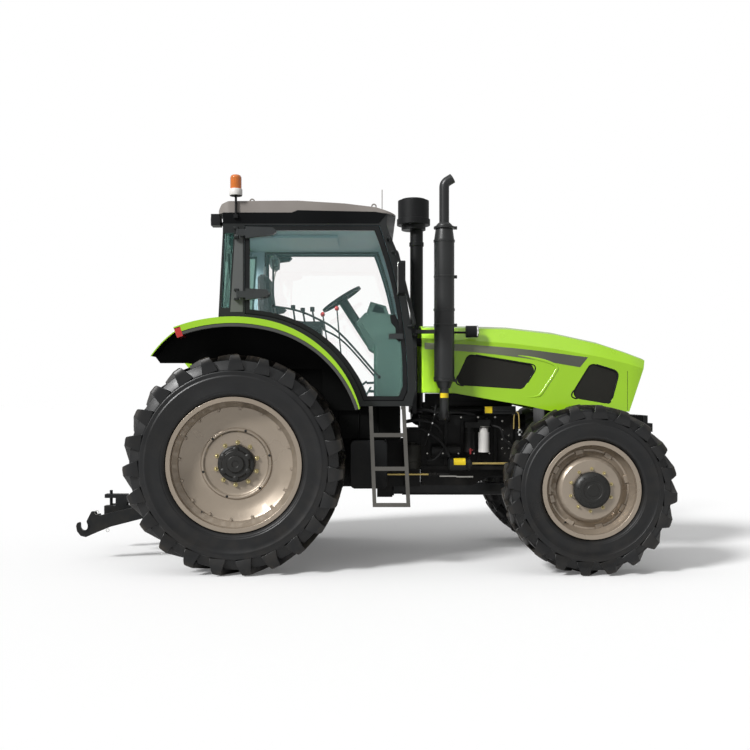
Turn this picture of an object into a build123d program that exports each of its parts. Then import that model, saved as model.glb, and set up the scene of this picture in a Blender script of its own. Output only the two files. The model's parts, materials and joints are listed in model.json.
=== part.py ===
"""Four-wheel-drive farm tractor with a glazed cab, an opening hood and a rear lifting hitch.

Millimetres. +X forward, +Y to the driver's left, +Z up. The origin is on the ground, under the middle
of the whole machine. Pieces of the right-hand side are drawn on -Y and mirrored for the left.
"""

import os
from math import acos, asin, cos, degrees, pi, radians, sin, sqrt
from typing import NamedTuple

from build123d import *

os.makedirs("parts", exist_ok=True)

# ---------------------------------------------------------------- driving dimensions
WHEELBASE = 2935
REAR_AXLE_X = -1079
FRONT_AXLE_X = REAR_AXLE_X + WHEELBASE

RUN_GAP = 0.4  # between faces that turn on each other
OPEN_PIVOT_GAP = 3  # round the lift rod's lower pin
SEAT_GAP = 0.3  # between a piece and the curved face it sits against


class Wheel(NamedTuple):
    axle_x: float
    centre_y: float  # middle of the tyre, on the right-hand side
    tyre_radius: float  # to the lug tips, and the height of the axle
    tyre_width: float
    tread_width: float
    lug_height: float
    lug_count: int  # on each half of the tread
    flange_radius: float
    bead_radius: float
    rim_width: float
    well_radius: float


REAR = Wheel(REAR_AXLE_X, -915, 910, 470, 440, 44, 23, 559, 533, 406, 488)
FRONT = Wheel(FRONT_AXLE_X, -950, 702.5, 380, 350, 38, 20, 406, 381, 320, 345)

# driveline
HOUSING_HALF = 215  # rear housing, half width
HOUSING_TOP = 1150
HOUSING_REAR_X = REAR_AXLE_X - 330
TRUMPET_END_Y = 620
ENGINE_REAR_X = REAR_AXLE_X + 1570
ENGINE_FRONT_X = FRONT_AXLE_X - 455
BLOCK_HALF = 200
FRAME_HALF = 190
FRAME_FRONT_X = FRONT_AXLE_X + 647
FRAME_TOP = 1100
FRAME_BOTTOM = 900

# front axle
KINGPIN_Y = 700
KNUCKLE_HALF = 140  # half height of the knuckle between the fork's jaws
FORK_JAW = 48
SPINDLE_END_Y = 800
ARM_REACH = 260  # kingpin to tie-rod pin
TIE_DROP = 42  # tie rod below the steering arm
SHAFT_Y = -80  # front drive shaft
SHAFT_Z = 602

# fenders: a crown arc about one centre runs into a tighter shoulder arc
FENDER_INNER_Y = -REAR.centre_y - REAR.tyre_width / 2 - 40
FENDER_OUTER_Y = -REAR.centre_y + 135
FENDER_TAIL_Y = 860
FENDER_SKIN = 12
FENDER_LIP = 54
FENDER_LIP_TIP = 12  # the lip's depth at the front tip
FENDER_LIP_WIDTH = 24
FENDER_TRIM = 29
SHOULDER_X = REAR_AXLE_X + 52
SHOULDER_Z = 1109
SHOULDER_R = 1016
CROWN_R = 1383
JOIN_ANGLE = 78.9
TIP_ANGLE = 14.8
LAMP_SPAN = 2.3  # degrees of the curve that the tail lamp takes
LAMP_ANGLE = 110.7  # where the wide part ends at the tail lamp
CROWN_X = SHOULDER_X - (CROWN_R - SHOULDER_R) * cos(radians(JOIN_ANGLE))
CROWN_Z = SHOULDER_Z - (CROWN_R - SHOULDER_R) * sin(radians(JOIN_ANGLE))
CREST_Z = CROWN_Z + CROWN_R

# cab
CAB_HALF = 800
CAB_POST = 60  # thickness of the side frames
POST_Y = CAB_HALF - CAB_POST
CAB_REAR_X = REAR_AXLE_X - 173
CAB_REAR_TOP_X = REAR_AXLE_X - 136
CAB_SILL_Z = 1388
CAB_TOP_Z = 3036
DOOR_TOP_Z = 2926
DOOR_REAR_X = REAR_AXLE_X + 50
DOOR_FRONT_TOP = (REAR_AXLE_X + 1196, DOOR_TOP_Z)
DOOR_FRONT_MID = (REAR_AXLE_X + 1372, 2270)
DOOR_FRONT_LOW = (REAR_AXLE_X + 1437, 1520)
DOOR_TOE_X = REAR_AXLE_X + 1401
DOOR_BOTTOM_Z = 1433
DOOR_SILL = 42  # door opening above the fender
DOOR_GAP = 6
DOOR_FRAME = 36
DOOR_THICKNESS = 28
FRONT_PILLAR = 62
GLASS = 6
TUB_WALL = 14
REAR_SILL_Z = CREST_Z + 2  # over the fender's crest
REAR_GLASS_Z = REAR_SILL_Z + 56
FLOOR_Z = 1390
PLATFORM_Z = 1760
PLATFORM_FRONT_X = REAR_AXLE_X + 700
ROOF_HALF = CAB_HALF - 5
HINGE_X = REAR_AXLE_X - 5
HINGE_Y = -CAB_HALF - 36
HINGE_PIN = 12

# hood
HOOD_REAR_X = REAR_AXLE_X + 1575
HOOD_HALF = 430
HOOD_SKIN = 10
HOOD_HINGE_X = HOOD_REAR_X + 50
HOOD_HINGE_Z = 2060
HOOD_EYES = (200, 240)  # the hinge eyes, near and far from the middle
COWL_FRONT_X = HOOD_REAR_X - 45
COWL_THICKNESS = 40

# stacks beside the hood
STACK_X = ENGINE_REAR_X + 190
STACK_Y = -620
MUFFLER_R = 88
MUFFLER_BOTTOM = 1541
MUFFLER_TOP = 2978
PIPE_R = 43
INTAKE_X = REAR_AXLE_X + 1575
INTAKE_Y = 600
DUCT_R = 64

# rear hitch: the lift arms copy the lower links, so arm, rod and link stay a parallelogram
LINK_PIN_X = REAR_AXLE_X - 240
LINK_PIN_Z = 560
ARM_PIN_Z = 1220
LIFT_LENGTH = 380  # pin to pin, on the arm and on the link alike
LINK_Y = 330
LINK_THICKNESS = 32
LINK_PIN_R = 29
ROD_THICKNESS = 36
HOOK_X = REAR_AXLE_X - 1449
HOOK_Z = 304
HOOK_R = 34
DRAWBAR_HALF = 45


# ---------------------------------------------------------------- drawing helpers
def block(x, y, z, mode=Mode.ADD):
    """Adds a block between pairs of X, Y and Z values to the part being built."""
    with Locations(((x[0] + x[1]) / 2, (y[0] + y[1]) / 2, (z[0] + z[1]) / 2)):
        return Box(abs(x[1] - x[0]), abs(y[1] - y[0]), abs(z[1] - z[0]), mode=mode)


def bar(start, end, radius, mode=Mode.ADD):
    """Adds a round bar from start to end."""
    way = Vector(*end) - Vector(*start)
    with BuildSketch(Plane(origin=start, z_dir=way)) as section:
        Circle(radius)
    return extrude(section.sketch, amount=way.length, mode=mode)


def pipe(points, radius, bend):
    """Adds a round pipe along straight runs joined by bends."""
    with BuildLine() as path:
        FilletPolyline(*points, radius=bend)
    with BuildSketch(Plane(origin=path.line @ 0, z_dir=path.line % 0)) as section:
        Circle(radius)
    return sweep(section.sketch, path=path.line)


def slab(points, y_from, y_to, mode=Mode.ADD):
    """Adds a flat plate with straight edges in X and Z, between two Y planes."""
    with BuildSketch(Plane.XZ.offset(-y_from)) as outline:
        Polygon(*points, align=None)
    return extrude(outline.sketch, amount=y_from - y_to, mode=mode)


def mirrored(shape):
    """The left-hand twin of a right-hand piece."""
    with BuildPart() as twin:
        mirror(shape, about=Plane.XZ)
    return twin


def pair(shape):
    """A right-hand piece and its left-hand twin, as two solids of one part."""
    with BuildPart() as both:
        add(shape)
        mirror(shape, about=Plane.XZ)
    return both


def about_y(angle):
    """Turn about the Y axis."""
    return Location((0, 0, 0), (0, angle, 0))


pieces = {}  # node name: builder

# ---------------------------------------------------------------- wheels
def make_tyre(wheel):
    """Tyre about the Y axis: a many-sided carcass with two rows of leaning lugs in a chevron."""
    half, tread = wheel.tyre_width / 2, wheel.tread_width / 2
    carcass = wheel.tyre_radius - wheel.lug_height
    sides, pitch = wheel.lug_count, 360 / wheel.lug_count
    wall = (wheel.flange_radius + carcass) / 2
    rim_edge = (wheel.rim_width / 2 - 14 - SEAT_GAP, wheel.flange_radius + 6)
    bead = (wheel.bead_radius + SEAT_GAP) / cos(pi / sides)
    half_section = [rim_edge, (half, wall), (tread * 0.86, carcass)]  # (y, radius) from rim to tread
    section = [(-y, r) for y, r in half_section] + half_section[::-1]
    lean, width_in, width_out, overlap = 0.32 * tread, 34, 28, 12
    lug_root = carcass - 1.4 * wheel.lug_height
    lug_tip = sqrt(wheel.tyre_radius**2 - (lean + width_in) ** 2)
    with BuildPart() as tyre:
        for y, radius in section:
            with BuildSketch(Plane.XZ.offset(-y)):
                RegularPolygon(radius, sides)
        loft(ruled=True)
        with BuildSketch(Plane.XZ.offset(-half)):
            RegularPolygon(bead, sides)
        extrude(amount=wheel.tyre_width, mode=Mode.SUBTRACT)
        for side in (1, -1):
            with BuildPart(mode=Mode.PRIVATE) as lug:
                with BuildSketch(Plane.YZ.offset(lug_root)):
                    Polygon(
                        (-side * overlap, lean - width_in),
                        (side * tread, -lean - width_out),
                        (side * tread, -lean + width_out),
                        (-side * overlap, lean + width_in),
                        align=None,
                    )
                extrude(amount=lug_tip - lug_root, taper=7)
            turn = 0 if side > 0 else pitch / 2
            with Locations(*[about_y(turn + pitch * n) for n in range(wheel.lug_count)]):
                add(lug.part)
    return tyre.part


def make_rim(wheel, disc_rows, disc_thickness):
    """Drop-centre rim and dished disc; disc_rows are (radius, outward y of the disc's outer face)."""
    half, wall = wheel.rim_width / 2, 12
    # (radius, y) of the outward half of the barrel's outer face, from the flange to the well
    outside = [
        (wheel.flange_radius, half + 2),
        (wheel.flange_radius, half - 8),
        (wheel.bead_radius, half - 14),
        (wheel.bead_radius, half - 70),
        (wheel.well_radius, half - 110),
    ]
    inside = [
        (wheel.well_radius - wall, half - 102),
        (wheel.bead_radius - wall, half - 62),
        (wheel.bead_radius - wall, half + 2),
    ]
    outer_face = outside + [(r, -y) for r, y in reversed(outside)]
    inner_face = [(r, -y) for r, y in reversed(inside)] + inside
    with BuildPart() as rim:
        with BuildSketch(Plane.XY):
            Polygon(*outer_face, *inner_face, align=None)
        revolve(axis=Axis.Y)
        front_face = [(r, -y) for r, y in disc_rows]
        back_face = [(r, -y + disc_thickness) for r, y in reversed(disc_rows)]
        with BuildSketch(Plane.XY):
            Polygon(*front_face, *back_face, align=None)
        revolve(axis=Axis.Y)
    return rim.part


def make_hub(rows):
    """Turned hub; rows are (radius, outward y) from the inner end to the cap, closed on the axis."""
    with BuildPart() as hub:
        with BuildSketch(Plane.XY):
            Polygon((0, -rows[0][1]), *[(r, -y) for r, y in rows], (0, -rows[-1][1]), align=None)
        revolve(axis=Axis.Y)
    return hub.part


def place_wheel(piece, wheel, side):
    """Carries a wheel piece from the Y axis to its axle; side is -1 on the right and 1 on the left."""
    with BuildPart() as placed:
        with Locations((wheel.axle_x, -side * wheel.centre_y, wheel.tyre_radius)):
            add(piece if side < 0 else mirror(piece, about=Plane.XZ, mode=Mode.PRIVATE))
    return placed


REAR_FACE_Y, REAR_BORE = 14, 118  # hub face of the rear disc, and its pilot bore
REAR_DISC = [
    (REAR.well_radius - 8, 74),
    (455, 66),
    (400, 40),
    (330, 24),
    (302, 24),
    (292, 36),
    (278, 36),
    (262, 20),
    (240, REAR_FACE_Y),
    (REAR_BORE, REAR_FACE_Y),
]
FRONT_FACE_Y, FRONT_BORE = 126, 112
FRONT_DISC = [
    (FRONT.well_radius - 8, 40),
    (318, 40),
    (276, 58),
    (264, 108),
    (240, FRONT_FACE_Y),
    (FRONT_BORE, FRONT_FACE_Y),
]
DISC = 14
REAR_HUB_END = TRUMPET_END_Y + RUN_GAP + REAR.centre_y  # inner end, as an outward y
FRONT_HUB_END = SPINDLE_END_Y + RUN_GAP + FRONT.centre_y
REAR_HUB = [
    (95, REAR_HUB_END),
    (95, -40),
    (205, -30),
    (205, REAR_FACE_Y - DISC),
    (REAR_BORE - SEAT_GAP, REAR_FACE_Y - DISC),
    (REAR_BORE - SEAT_GAP, REAR_FACE_Y),
    (153, REAR_FACE_Y),
    (153, 58),
    (140, 66),
    (122, 66),
    (110, 84),
]
FRONT_HUB = [
    (170, FRONT_HUB_END),
    (185, 20),
    (205, FRONT_FACE_Y - DISC),
    (FRONT_BORE - SEAT_GAP, FRONT_FACE_Y - DISC),
    (FRONT_BORE - SEAT_GAP, FRONT_FACE_Y),
    (150, FRONT_FACE_Y),
    (150, 168),
    (136, 182),
    (104, 196),
]

for axle, wheel, disc_rows, hub_rows in (
    ("rear", REAR, REAR_DISC, REAR_HUB),
    ("front", FRONT, FRONT_DISC, FRONT_HUB),
):
    kinds = {"tyre": make_tyre(wheel), "rim": make_rim(wheel, disc_rows, DISC), "hub": make_hub(hub_rows)}
    for hand, side in (("right", -1), ("left", 1)):
        for kind, shape in kinds.items():
            pieces[f"{kind}_{axle}_{hand}"] = place_wheel(shape, wheel, side)

# ---------------------------------------------------------------- driveline
PTO_Z = 705
PTO_R = 17.5
PTO_LENGTH = 95  # from the housing's rear face
AXLE_Z = REAR.tyre_radius
with BuildPart() as gearbox:
    block((HOUSING_REAR_X, REAR_AXLE_X + 400), (-HOUSING_HALF, HOUSING_HALF), (620, HOUSING_TOP))
    fillet(gearbox.edges().filter_by(Axis.X), 40)
    block((REAR_AXLE_X + 400, REAR_AXLE_X + 1430), (-185, 185), (650, 1080))
    for x in (420, 760, 1040):  # joint flanges between the castings
        block((REAR_AXLE_X + x, REAR_AXLE_X + x + 34), (-205, 205), (636, 1096))
    block((REAR_AXLE_X + 1430, ENGINE_REAR_X), (-240, 240), (655, 1180))  # clutch housing
    block((REAR_AXLE_X + 1180, REAR_AXLE_X + 1320), (-150, -10), (550, 650))  # front-drive drop box
    bar((HOUSING_REAR_X, 0, PTO_Z), (HOUSING_REAR_X - 24, 0, PTO_Z), 70)
    bar((HOUSING_REAR_X - 24, 0, PTO_Z), (HOUSING_REAR_X - PTO_LENGTH, 0, PTO_Z), PTO_R)
pieces["gearbox"] = gearbox

with BuildPart() as trumpet:
    # (distance out from the middle, radius)
    for near, far in (((HOUSING_HALF, 205), (HOUSING_HALF + 34, 205)), ((HOUSING_HALF + 34, 170), (500, 112)),
                      ((500, 150), (TRUMPET_END_Y, 150))):
        for y, radius in (near, far):
            with BuildSketch(Plane((REAR_AXLE_X, -y, AXLE_Z), x_dir=(1, 0, 0), z_dir=(0, -1, 0))):
                Circle(radius)
        loft()
pieces["rear_axle"] = pair(trumpet.part)

TURBO_Y = 245  # outlet of the turbocharger, where the exhaust begins
with BuildPart() as engine:
    length = (ENGINE_REAR_X, ENGINE_FRONT_X)
    block(length, (-BLOCK_HALF, BLOCK_HALF), (830, 1300))
    rib_pitch = (ENGINE_FRONT_X - ENGINE_REAR_X - 160) / 5
    for n in range(6):  # stiffening ribs along both sides of the block
        x = ENGINE_REAR_X + 70 + n * rib_pitch
        for side in (-1, 1):
            block((x, x + 26), sorted((side * BLOCK_HALF, side * (BLOCK_HALF + 24))), (850, 1260))
    block(length, (-BLOCK_HALF - 20, BLOCK_HALF + 20), (806, 838))  # sump flange
    slab(
        [
            (ENGINE_REAR_X + 20, 806),
            (ENGINE_REAR_X + 20, 660),
            (ENGINE_FRONT_X - 430, 660),
            (ENGINE_FRONT_X - 290, 730),
            (ENGINE_FRONT_X - 10, 730),
            (ENGINE_FRONT_X - 10, 806),
        ],
        -150,
        150,
    )
    block((ENGINE_REAR_X + 30, ENGINE_FRONT_X - 60), (-120, 150), (1300, 1420))  # head
    block((ENGINE_REAR_X + 60, ENGINE_FRONT_X - 90), (-90, 110), (1420, 1500))  # rocker cover
    port_pitch = (ENGINE_FRONT_X - ENGINE_REAR_X - 260) / 5
    for n in range(6):  # exhaust ports and manifold on the right
        x = ENGINE_REAR_X + 110 + n * port_pitch
        bar((x, -110, 1350), (x, -170, 1350), 28)
    bar((ENGINE_REAR_X + 90, -172, 1350), (ENGINE_FRONT_X - 120, -172, 1350), 34)
    bar((STACK_X, -TURBO_Y, 1290), (STACK_X, -140, 1290), 75)  # turbocharger
    bar((STACK_X - 20, -185, 1290), (STACK_X + 80, -185, 1290), 58)
    bar((ENGINE_FRONT_X, 0, 1000), (ENGINE_FRONT_X + 50, 0, 1000), 95)  # crank pulley
    bar((ENGINE_FRONT_X, 0, 1240), (ENGINE_FRONT_X + 70, 0, 1240), 70)  # water pump pulley
    starter_y = -BLOCK_HALF - 60
    bar((ENGINE_REAR_X + 100, starter_y, 980), (ENGINE_REAR_X + 360, starter_y, 980), 55)
    block((ENGINE_REAR_X + 120, ENGINE_REAR_X + 190), (starter_y - 10, -BLOCK_HALF), (940, 1020))
pieces["engine"] = engine

with BuildPart() as filters:
    for x in (ENGINE_REAR_X + 571, ENGINE_REAR_X + 440):
        bar((x, -BLOCK_HALF - 90, 970), (x, -BLOCK_HALF - 90, 1150), 50)
        bar((x, -BLOCK_HALF - 90, 1150), (x, -BLOCK_HALF - 90, 1190), 40)
    block((ENGINE_REAR_X + 400, ENGINE_REAR_X + 620), (-BLOCK_HALF - 130, -BLOCK_HALF - 24), (1190, 1240))
pieces["filters"] = filters

with BuildPart() as front_frame:
    for side in (-1, 1):
        rail = sorted((side * (FRAME_HALF - 40), side * FRAME_HALF))
        block((ENGINE_FRONT_X, FRAME_FRONT_X), rail, (FRAME_BOTTOM, FRAME_TOP))
    saddle_x = FRONT_AXLE_X - 190, FRONT_AXLE_X + 190
    block(saddle_x, (-FRAME_HALF, FRAME_HALF), (FRAME_BOTTOM - 20, FRAME_TOP - 60))
    block((FRAME_FRONT_X - 50, FRAME_FRONT_X), (-250, 250), (FRAME_BOTTOM, 1300))
    block((FRAME_FRONT_X, FRAME_FRONT_X + 40), (-290, 290), (1230, 1301))
    block((FRAME_FRONT_X, FRAME_FRONT_X + 84), (-290, 290), (1152, 1230))
    for x in (FRONT_AXLE_X - 175, FRONT_AXLE_X + 135):  # trunnion hangers of the front axle
        block((x, x + 40), (-80, 80), (FRONT.tyre_radius - 40, FRAME_BOTTOM))
pieces["front_frame"] = front_frame

with BuildPart() as radiator:
    block((FRONT_AXLE_X - 250, FRONT_AXLE_X - 90), (-300, 300), (FRAME_TOP, 1740))
    block((FRONT_AXLE_X - 90, FRONT_AXLE_X - 30), (-270, 270), (FRAME_TOP + 60, 1700))
    block((FRONT_AXLE_X - 265, FRONT_AXLE_X - 15), (-280, 280), (FRAME_TOP, FRAME_TOP + 40))
pieces["radiator"] = radiator

# ---------------------------------------------------------------- front axle and steering
HUB_Z = FRONT.tyre_radius
FORK_HALF = 62  # half width of the fork's jaws along the tractor
FORK_WEB = 40  # half width of the web that joins them, clear of the steering arm at full lock
with BuildPart() as front_axle:
    bar((FRONT_AXLE_X - 134, 0, HUB_Z), (FRONT_AXLE_X + 134, 0, HUB_Z), 36)  # rocking trunnions
    with BuildSketch(Plane((FRONT_AXLE_X - 120, 0, HUB_Z), z_dir=(1, 0, 0))):
        Circle(120)
    with BuildSketch(Plane((FRONT_AXLE_X, 0, HUB_Z), z_dir=(1, 0, 0))):
        Circle(165)
    with BuildSketch(Plane((FRONT_AXLE_X + 120, 0, HUB_Z), z_dir=(1, 0, 0))):
        Circle(110)
    loft(ruled=True)
    for side in (-1, 1):
        for y, height, depth in ((120, 130, 92), (KINGPIN_Y - 110, 96, 70)):
            with BuildSketch(Plane.XZ.offset(-side * y)):
                with Locations((FRONT_AXLE_X, HUB_Z)):
                    RectangleRounded(2 * depth, 2 * height * 0.8, 30)
        loft()
        jaw_y = sorted((side * (KINGPIN_Y - 130), side * (KINGPIN_Y + 62)))
        for z in (HUB_Z - KNUCKLE_HALF - FORK_JAW, HUB_Z + KNUCKLE_HALF):
            block((FRONT_AXLE_X - FORK_HALF, FRONT_AXLE_X + FORK_HALF), jaw_y, (z, z + FORK_JAW))
        web_y = sorted((side * (KINGPIN_Y - 140), side * (KINGPIN_Y - 100)))
        web_z = (HUB_Z - KNUCKLE_HALF - FORK_JAW, HUB_Z + KNUCKLE_HALF + FORK_JAW)
        block((FRONT_AXLE_X - FORK_WEB, FRONT_AXLE_X + FORK_WEB), web_y, web_z)
pieces["front_axle"] = front_axle

ARM_X = FRONT_AXLE_X - ARM_REACH
ARM_Z = HUB_Z - KNUCKLE_HALF + 6
with BuildPart() as knuckle_right:
    half = KNUCKLE_HALF - RUN_GAP
    bar((FRONT_AXLE_X, -KINGPIN_Y, HUB_Z - half), (FRONT_AXLE_X, -KINGPIN_Y, HUB_Z + half), 64)
    bar((FRONT_AXLE_X, -KINGPIN_Y, HUB_Z), (FRONT_AXLE_X, -SPINDLE_END_Y, HUB_Z), 118)
    block((ARM_X - 38, FRONT_AXLE_X - 30), (-KINGPIN_Y - 34, -KINGPIN_Y + 34), (ARM_Z, ARM_Z + 34))
    fillet(knuckle_right.edges().filter_by(Axis.Z).sort_by(Axis.X)[:2], 33)
pieces["knuckle_right"] = knuckle_right
pieces["knuckle_left"] = mirrored(knuckle_right.part)

TIE_Z = ARM_Z - TIE_DROP
with BuildPart() as tie_rod:
    bar((ARM_X, -KINGPIN_Y - 30, TIE_Z), (ARM_X, KINGPIN_Y + 30, TIE_Z), 20)
    for y in (-KINGPIN_Y, KINGPIN_Y):
        bar((ARM_X, y, TIE_Z - 26), (ARM_X, y, TIE_Z + 26), 30)
        bar((ARM_X, y, TIE_Z), (ARM_X, y, ARM_Z - RUN_GAP), 14)
pieces["tie_rod"] = tie_rod

with BuildPart() as drive_shaft:
    shaft_ends = REAR_AXLE_X + 1320, FRONT_AXLE_X - 120
    bar((shaft_ends[0], SHAFT_Y, SHAFT_Z), (shaft_ends[1], SHAFT_Y, SHAFT_Z), 30)
    bar((shaft_ends[0] + 90, SHAFT_Y, SHAFT_Z), (shaft_ends[1] - 120, SHAFT_Y, SHAFT_Z), 38)
    bar((shaft_ends[0], SHAFT_Y, SHAFT_Z), (shaft_ends[0] + 16, SHAFT_Y, SHAFT_Z), 45)
pieces["drive_shaft"] = drive_shaft

# ---------------------------------------------------------------- tanks and steps
TANK_X = (REAR_AXLE_X + 945, REAR_AXLE_X + 1265)
TANK_Y = (-720, -230)
TANK_Z = (679, 1095)
with BuildPart() as tank:
    block(TANK_X, TANK_Y, TANK_Z)
    fillet(tank.edges().filter_by(Axis.Y), 45)
    block((TANK_X[0] + 25, TANK_X[0] + 75), (TANK_Y[1], -185), (880, 960))  # saddles on the gearbox
    block((TANK_X[1] - 110, TANK_X[1] - 60), (TANK_Y[1], -185), (880, 960))
pieces["fuel_tanks"] = pair(tank.part)

STEP_RAILS = ((REAR_AXLE_X + 1123, REAR_AXLE_X + 1155), (REAR_AXLE_X + 1398, REAR_AXLE_X + 1438))  # top, foot
STEP_Y = -CAB_HALF - 130
STEP_FOOT_Z = 548
TREADS = ((1132, 70), (851, 120), (STEP_FOOT_Z, 170))  # height, depth of the tread
with BuildPart() as ladder:
    top_z = CAB_SILL_Z - 12
    for top_x, foot_x in STEP_RAILS:
        rail_top = (top_x - 16, top_z), (top_x + 16, top_z)
        rail_foot = (foot_x + 16, STEP_FOOT_Z), (foot_x - 16, STEP_FOOT_Z)
        slab([*rail_top, *rail_foot], STEP_Y, STEP_Y - 28)
        block((top_x - 16, top_x + 16), (STEP_Y - 28, -CAB_HALF + CAB_POST), (top_z - 14, CAB_SILL_Z))
    for z, depth in TREADS:
        share = (CAB_SILL_Z - z) / (CAB_SILL_Z - STEP_FOOT_Z)
        x = [top + (foot - top) * share for top, foot in STEP_RAILS]
        block(x, (STEP_Y - 28, STEP_Y + depth), (z, z + 14))
        block(x, (STEP_Y - 28, STEP_Y - 20), (z, z + 34))
pieces["steps"] = pair(ladder.part)

# ---------------------------------------------------------------- fenders
def on_shoulder(angle, depth):
    """Point depth under the fender's skin on its shoulder arc."""
    r = SHOULDER_R - depth
    return SHOULDER_X + r * cos(radians(angle)), SHOULDER_Z + r * sin(radians(angle))


def on_crown(angle, depth):
    """Point depth under the fender's skin on its crown arc."""
    r = CROWN_R - depth
    return CROWN_X + r * cos(radians(angle)), CROWN_Z + r * sin(radians(angle))


def fender_curve(depth, tip_depth=None, rear_angle=LAMP_ANGLE, tip_angle=TIP_ANGLE):
    """Adds the fender's curve at a depth under the skin, from the rear to the front tip."""
    tip_depth = depth if tip_depth is None else tip_depth
    crown_middle, shoulder_middle = (rear_angle + JOIN_ANGLE) / 2, (JOIN_ANGLE + tip_angle) / 2
    middle_depth = depth + (tip_depth - depth) * 0.4
    crown = ThreePointArc(*[on_crown(angle, depth) for angle in (rear_angle, crown_middle, JOIN_ANGLE)])
    shoulder = ThreePointArc(
        crown @ 1, on_shoulder(shoulder_middle, middle_depth), on_shoulder(tip_angle, tip_depth)
    )
    return crown @ 0, shoulder @ 1


def fender_band(top, bottom, y_from, y_to):
    """Adds a band between two depths, each a (depth, depth at the tip), between two Y planes."""
    with BuildSketch(Plane.XZ.offset(-y_from)) as band:
        with BuildLine():
            upper_rear, upper_tip = fender_curve(*top)
            lower_rear, lower_tip = fender_curve(*bottom)
            Line(upper_tip, lower_tip)
            Line(lower_rear, upper_rear)
        make_face()
    return extrude(band.sketch, amount=y_from - y_to)


TAIL_KNEE = (REAR_AXLE_X - 610, 1962)
TAIL_TIP = (REAR_AXLE_X - 739, 1812)
TAIL_FOOT_Z = 1759


def tail_curve(depth):
    """Adds the tail's curve at a depth under the skin, from the lamp down to the tip."""
    slope = 0.6 * depth
    knee, tip = (TAIL_KNEE[0] + slope, TAIL_KNEE[1] - slope), (TAIL_TIP[0] + depth, TAIL_TIP[1])
    return ThreePointArc(on_crown(LAMP_ANGLE, depth), knee, tip)


with BuildPart() as fender_right:
    fender_band((0,), (FENDER_SKIN,), -FENDER_INNER_Y, -FENDER_OUTER_Y)
    lip_rear = LAMP_ANGLE - LAMP_SPAN
    lip_top, lip_foot = (0, 0, lip_rear), (FENDER_LIP, FENDER_LIP_TIP, lip_rear)
    fender_band(lip_top, lip_foot, -FENDER_OUTER_Y + FENDER_LIP_WIDTH, -FENDER_OUTER_Y)
    with BuildSketch(Plane.XZ.offset(FENDER_INNER_Y)):  # tail, behind the lamp
        with BuildLine():
            upper, lower = tail_curve(0), tail_curve(FENDER_SKIN)
            Line(upper @ 0, lower @ 0)
            Line(upper @ 1, lower @ 1)
        make_face()
    extrude(amount=FENDER_TAIL_Y - FENDER_INNER_Y)
    with BuildSketch(Plane.XZ.offset(FENDER_INNER_Y)):  # inner wall, from the tail to the front tip
        with BuildLine():
            tail = tail_curve(0)
            rear, tip = fender_curve(0)
            Polyline(
                tail @ 1,
                (TAIL_TIP[0] + 40, TAIL_FOOT_Z),
                (REAR_AXLE_X - 470, TAIL_FOOT_Z),
                (REAR_AXLE_X - 170, FLOOR_Z + 320),
                (PLATFORM_FRONT_X, FLOOR_Z + 320),
                (PLATFORM_FRONT_X + 20, FLOOR_Z - 40),
                (tip.X, FLOOR_Z - 40),
                tip,
            )
        make_face()
    extrude(amount=FENDER_SKIN)
pieces["fender_right"] = fender_right
pieces["fender_left"] = mirrored(fender_right.part)

with BuildPart() as trim:
    fender_band(
        (FENDER_LIP + SEAT_GAP, FENDER_LIP_TIP + SEAT_GAP, lip_rear),
        (FENDER_LIP + FENDER_TRIM, FENDER_LIP_TIP + FENDER_TRIM, lip_rear),
        -FENDER_OUTER_Y + FENDER_LIP_WIDTH + 20,
        -FENDER_OUTER_Y + 4,
    )
pieces["fender_trims"] = pair(trim.part)

# ---------------------------------------------------------------- cab
def front_arc(forward=0, top=None):
    """Adds the curve of the cab's front from the top down, moved forward of the door's front edge."""
    (top_x, top_z), (mid_x, mid_z), (low_x, low_z) = DOOR_FRONT_TOP, DOOR_FRONT_MID, DOOR_FRONT_LOW
    return ThreePointArc((top_x + forward, top_z), (mid_x + forward, mid_z), (low_x + forward, low_z))


def door_face(inset, mode=Mode.ADD):
    """Door outline moved in by inset all round: it follows the front pillar and the fender."""
    lift = -DOOR_SILL - inset
    bottom = DOOR_BOTTOM_Z + inset
    rear = DOOR_REAR_X + inset
    heel_angle = degrees(asin((bottom - SHOULDER_Z) / (SHOULDER_R - lift)))
    rear_angle = degrees(acos((rear - CROWN_X) / (CROWN_R - lift)))
    with BuildLine() as outline:
        front = ThreePointArc(
            (DOOR_FRONT_TOP[0] - inset, DOOR_TOP_Z - inset),
            (DOOR_FRONT_MID[0] - inset, DOOR_FRONT_MID[1]),
            (DOOR_FRONT_LOW[0] - inset, DOOR_FRONT_LOW[1] + inset),
        )
        rear_foot, heel = fender_curve(lift, rear_angle=rear_angle, tip_angle=heel_angle)
        Polyline(front @ 1, (DOOR_TOE_X - inset, bottom), heel)
        Polyline(rear_foot, (rear, DOOR_TOP_Z - inset), front @ 0)
    return make_face(outline.edges(), mode=mode)


QUARTER_FOOT_Z = CREST_Z + 94
# quarter window: (x from the rear axle, z)
QUARTER = [(-122, 2862), (-42, 2862), (-84, QUARTER_FOOT_Z), (-146, QUARTER_FOOT_Z)]


def quarter_face(grow, mode=Mode.ADD):
    """Quarter window outline, grown outward by grow."""
    (x0, z0), (x1, z1), (x2, z2), (x3, z3) = [(REAR_AXLE_X + x, z) for x, z in QUARTER]
    corners = (x0 - grow, z0 + grow), (x1 + grow, z1 + grow), (x2 + grow, z2 - grow), (x3 - grow, z3 - grow)
    return Polygon(*corners, align=None, mode=mode)


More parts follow.
